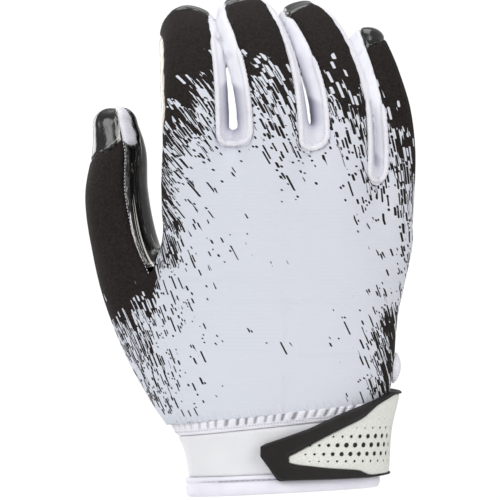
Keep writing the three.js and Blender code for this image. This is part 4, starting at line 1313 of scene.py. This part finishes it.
PANELS = {
    "back_shell": ([back_field] + strips, PRINT_CLOTH, "print_cloth"),
    "thumb_palm": ([lambda m: -back_field(m), lambda m: m["thumb_palm"], strips[3]], THUMB_GRIP,
                   "grip_coating"),
    "palm": ([lambda m: -back_field(m), lambda m: -m["thumb_palm"]] + strips, GRIP, "grip_coating"),
    "side_strip_index_middle": ([lambda m: m["strip_index"]], STRIP_KNIT, "strip_knit"),
    "side_strip_middle_ring": ([lambda m: m["strip_middle"]], STRIP_KNIT, "strip_knit"),
    "side_strip_ring_little": ([lambda m: m["strip_ring"]], STRIP_KNIT, "strip_knit"),
    "thumb_side_strip": ([lambda m: m["thumb_strip"]], STRIP_KNIT, "strip_knit"),
}
body = clip(body, body["foot"])
body["edge"] = back_field(body)
for name, (limits, material, slot) in PANELS.items():
    thumb, printed = name == "thumb_palm", name == "back_shell"
    seams = STRIPS + ["edge"] + (["thumb_palm"] if thumb else [])
    piece = draw_in(panel(body, limits), seams, 0.75, 0.9, 0.22)
    uv = [piece[key] for key in (("thumb_x", "thumb_z") if thumb else ("flat_x", "flat_z"))]
    put(name, piece["p"], piece["faces"], material, slot, [name], np.stack(uv, axis=1),
        {key: piece[key] for key in (["ink"] if printed else ["deep", "pale"])}, WALL, held="stretched",
        lines=np.stack([piece["stroke"], piece["run"]], axis=1) if printed else None)

# Rolled edges round the gaps.
for gap in GAPS:
    path, normals = roll_path(gap)
    turn = np.linspace(0, 2 * math.pi, 17)[:-1]
    length = np.arange(len(path)) * ROLL_STEP
    radius = 1.1 + 0.08 * np.sin(2 * math.pi * length / 2.3)[:, None] * np.cos(turn) ** 2
    fuzz = np.random.default_rng(7).normal(0, 0.05, (len(path), 16))
    ends = np.minimum(length, length[-1] - length)
    radius = (radius + fuzz) * np.sqrt(np.clip(0.03 + ends / 4.5, 0, 1))[:, None]
    profile = np.stack([radius * np.cos(turn), 0.45 + radius * np.sin(turn)], axis=-1)
    points = carried(path, normals, profile)
    flat = np.stack(np.broadcast_arrays(turn[None] * 1.15, length[:, None]), axis=-1)
    ends = [points[:1].mean(1), points[-1:].mean(1)]
    count = len(path) * 16
    faces = grid_faces(len(path), 16, False, True)
    ring = np.arange(16)
    cap = [np.stack([ring, np.roll(ring, -1), np.full(16, count), np.full(16, count)], 1),
           np.stack([np.roll(ring, -1) + count - 16, ring + count - 16, np.full(16, count + 1),
                     np.full(16, count + 1)], 1)]
    quads = np.vstack([faces[:, [0, 1, 2]], faces[:, [0, 2, 3]], cap[0][:, :3], cap[1][:, :3]])
    points = np.vstack([points.reshape(-1, 3)] + ends)
    flat = np.vstack([flat.reshape(-1, 2), flat[0, 0], flat[-1, 0]])
    name = "gap_binding_" + gap[0] + "_" + gap[1]
    put(name, points, quads, EDGE_KNIT, "binding_knit", [name], flat, weld=True)


# Cuff, gathered seam and hem.

def cuff_relief(along, height, out, around, x):
    """Soft unevenness of the cuff's cloth."""
    return np.where(out > -0.5, 0.25 * np.sin(2 * math.pi * along * 5 / around + height * 0.11)
                    + 0.12 * np.sin(2 * math.pi * along * 17 / around - height * 0.2), 0)


def gathers(along, height, around, x):
    """How far into a fold of the gathered seam a place lies, from -1 on a fold to 1 between two: slanting
    folds 3.6 mm apart in the upper part of the band, flatter at the thumb's side, each a little different."""
    count = round(around / 3.6)
    turn = 2 * math.pi / around
    drift = 0.8 * np.sin(along * turn * 7 + 1) + 0.6 * np.sin(along * turn * 16)
    wave = np.cos(turn * count * (along - 0.35 * height) + drift)
    rise = height - seam_line(x)
    upper = smooth(-1.6, -0.2, rise) * (1 - smooth(2.0, 3.2, rise))
    return wave * upper * (0.85 + 0.15 * np.sin(along * turn * 11)) * (0.35 + 0.65 * smooth(-44, -30, x))


def gather_relief(along, height, out, around, x):
    """The folds of the gathered seam, 0.3 mm to either side."""
    return np.where(out > 0, -0.3 * gathers(along, height, around, x), 0)


def hem_relief(along, height, out, around, x):
    """Slight waves of the folded hem."""
    flat = 1.2 * bump(height - hem_line(x), -2.1, 0.6) * (1 - smooth(-44, -35, x) + smooth(32, 39, x))
    return np.where(out > -1.9, 0.12 * np.sin(2 * math.pi * along * 23 / around) + flat, 0)


def rounded(low, high, outer, inner, base_low, base_high, groove=(), tall=None):
    """A band's section: outer side with rounded ends and grooves at heights, then its inner side."""
    share = np.linspace(0, 1, 33)
    height = low + (high - low) * share
    edge = np.minimum(share, 1 - share) * (tall or high - low)
    out = outer - 0.9 * np.exp(-edge / 0.45)
    for place, depth, reach in groove:
        out = out - depth * bump(height, place, reach)
    base = base_low + (base_high - base_low) * share
    front = np.stack([out, base, height], axis=1)
    back = np.stack([np.full(33, inner), base, height], axis=1)[::-4]
    return np.vstack([front, back])


points, flat, faces = cuff_ring(rounded(0.1, -SEAM_BAND / 2 - 0.1, 0, -1.6, 0, 1, tall=19.0), cuff_relief)
put("cuff_band", points, faces, CUFF_KNIT, "cuff_knit", ["cuff_band"], flat, weld=True, held="stretched")
points, flat, faces = cuff_ring(rounded(-SEAM_BAND / 2, SEAM_BAND / 2 - 0.2, 0.5, -1.2, 1, 1,
                                        [(-1.7, 0.45, 0.35), (2.6, 0.4, 0.35)]), gather_relief, 960)
# Painted shade: the valleys between the gathers' folds darken the edging's colour, through the deep
# attribute.
folds = np.clip(gathers(flat[:, 0], flat[:, 1], even_angles(100)[1], points[:, 0]) * 1.3 - 0.1, 0, 1)
put("wrist_seam_band", points, faces, EDGE_KNIT, "binding_knit", ["wrist_seam_band"], flat,
    {"deep": folds}, weld=True, held="gathered")
rise = -HEM_HEIGHT * (1 - np.cos(np.linspace(0, math.pi, 49))) / 2
low, high = np.clip((rise + 5.2) / 3.0, -1, 1), np.clip((rise + 1.0) / 1.0, -1, 1)
bulge = 0.7 - 1.7 * (1 - np.sqrt(1 - 0.97 * np.where(rise < -2.1, low, high) ** 2))
section = np.stack([bulge, np.zeros(49), rise], axis=1)
inner = np.stack([np.full(9, -2.2), np.zeros(9), np.linspace(0, -HEM_HEIGHT, 9)], axis=1)
section = np.vstack([section[::-1], inner])
points, flat, faces = cuff_ring(section, hem_relief)
# Painted shade in the groove along the hem's stitch line, on all but the thumb's side, through the deep
# attribute.
stitch_groove_shade = bump(flat[:, 1] - hem_line(points[:, 0]), -2.1, 0.35)
put("hem", points, faces, HEM_KNIT, "binding_knit", ["hem"], flat,
    {"deep": 0.7 * stitch_groove_shade * (points[:, 0] > -32)}, weld=True, held="folded")

# Threads: along the seams of the thumb, index and little finger, and round wrist and hem.
threads = []
for name, degrees, start, end in (("thumb", 59, 0.2, 0.97), ("little", 98, 0.1, 0.92),
                                  ("index", -98, 0.02, 0.2), ("thumb", -98, 0.12, 0.8)):
    path, normals = settle(smooth_path(even_path(digit_edge(name, degrees, start, end), 0.5), 6), 3)
    threads.append(stitches(path, normals, 1.5, 0.95, 0.17, lift=-0.25))
around, _ = even_angles(900)
level = sleeve_ring(around, np.full(900, CUFF_LEVEL), 0)[:, 0]
for line, rise, out, pitch, length, lean in ((hem_line, -2.1, 0.1, 2.3, 1.5, 0),
                                             (seam_line, -1.7, 0.35, 1.3, 1.5, 60)):
    height = line(level) + rise
    ring = np.vstack([sleeve_ring(around, height, out), sleeve_ring(around[:1], height[:1], out)])
    outward = sleeve_ring(around, height, out + 1) - sleeve_ring(around, height, out)
    threads.append(stitches(ring, np.vstack([outward, outward[:1]]), pitch, length, 0.16, lean))
points, faces = joined(threads)
put("stitching", points, faces, THREAD, "binding_knit")

# Strap.
points, flat, faces, _ = strap_plate(STRAP_OUTLINE, 1.0, lambda flat, edge: (
    FRAME_IN - 0.3 - 0.8 * np.exp(-edge / 0.4), edge), BACKING_IN)
put("strap_backing", points, faces, STRAP_RUBBER, "moulded_strap", ["strap_backing"], flat)
points, flat, faces, _ = strap_plate(STRAP_OUTLINE, 0.4, frame_front, FRAME_IN)
put("strap_frame", points, faces, STRAP_RUBBER, "moulded_strap", ["strap_frame"], flat)
points, flat, faces, hole = strap_plate(PANEL_OUTLINE, 0.26, panel_front, FRAME_IN + 0.1)
put("strap_panel", points, faces, PIERCED, "pierced_panel", ["strap_panel"], flat, {"hole": hole})

# The side tab: a pad that swells out of the edge of the hand.
up, round_ = np.meshgrid(np.linspace(0.01, 0.99, 60), np.linspace(-1, 1, 60), indexing="ij")
height = TAB_BOTTOM + up * TAB_HEIGHT
half = TAB_WIDTH / 2 / sleeve_at(height)[3] * np.sin(math.pi * up) ** 0.5
angle = math.pi / 2 + round_ * half
swell = TAB_THICKNESS * np.sin(math.pi * up) ** 0.6 * np.sqrt(np.clip(1 - round_**4, 0, 1))
front = sleeve_ring(angle, height, 0.5 + swell)
back = sleeve_ring(angle, height, np.full_like(height, 0.3))
flat = np.stack([round_ * TAB_WIDTH / 2, height], axis=-1).reshape(-1, 2)
tab = put("side_tab", np.vstack([front.reshape(-1, 3), back.reshape(-1, 3)]), two_sided(60, 60), EDGE_KNIT,
          "binding_knit", ["side_tab"], np.vstack([flat, flat]), weld=True)

# Studio: pale floor and white surround, soft light from above and the left, long lens square to the back.
floor = bpy.data.meshes.new("floor")
floor.from_pydata([(-0.6, -0.3, -0.03), (0.6, -0.3, -0.03), (0.6, 0.3, -0.03), (-0.6, 0.3, -0.03)], [],
                  [(0, 1, 2, 3)])
floor_piece = bpy.data.objects.new("floor", floor)
bpy.context.scene.collection.objects.link(floor_piece)
paper, paper_tree, paper_shader = new_material("pale_paper", Roughness=0.9)
paper_shader.inputs["Base Color"].default_value = linear("f6f6f6")
floor.materials.append(paper)


# Soft square lamps: place, height aimed at over the origin, watts, and side, in metres.
LAMPS = {
    "key": ((-0.8, -0.7, 0.78), 0.1, 4.8, 0.62),
    "card": ((-0.3, -1.1, 0.62), 0.12, 2.4, 0.42),
    "fill": ((0.85, -0.9, 0.35), 0.1, 3.9, 0.6),
    "top": ((0.0, 0.1, 1.1), 0.1, 4, 0.7),
    "rim": ((-0.6, 0.5, 0.35), 0.1, 2.4, 0.5),
}
for name, (place, aim, watts, side) in LAMPS.items():
    data = bpy.data.lights.new(name, "AREA")
    data.energy = watts
    data.size = side
    lamp = bpy.data.objects.new(name, data)
    lamp.location = place
    lamp.rotation_euler = (Vector((0, 0, aim)) - Vector(place)).to_track_quat("-Z", "Y").to_euler()
    bpy.context.scene.collection.objects.link(lamp)
world = bpy.data.worlds.new("studio")
world.use_nodes = True
sky = world.node_tree
soft = sky.nodes["Background"]
soft.inputs["Color"].default_value = (1, 1, 1, 1)
soft.inputs["Strength"].default_value = 0.47
bright = add(sky, "Background", {"Color": (1, 1, 1, 1), "Strength": 1.05})
both = add(sky, "MixShader", {0: add(sky, "LightPath"), 1: soft.outputs[0], 2: bright})
sky.links.new(both, sky.nodes["World Output"].inputs["Surface"])
bpy.context.scene.world = world
bpy.context.scene.view_settings.view_transform = "Standard"

lens = bpy.data.cameras.new("camera")
lens.type = "PERSP"
lens.sensor_width = 36.0
DISTANCE = 2.2
VIEW_WIDTH = 0.21  # the photo's 500 pixels at 0.42 mm
lens.lens = lens.sensor_width * DISTANCE / VIEW_WIDTH
camera = bpy.data.objects.new("camera", lens)
camera.location = (-0.0189, -DISTANCE, 0.0995)
camera.rotation_euler = (math.radians(90), 0, 0)
bpy.context.scene.collection.objects.link(camera)
bpy.context.scene.camera = camera
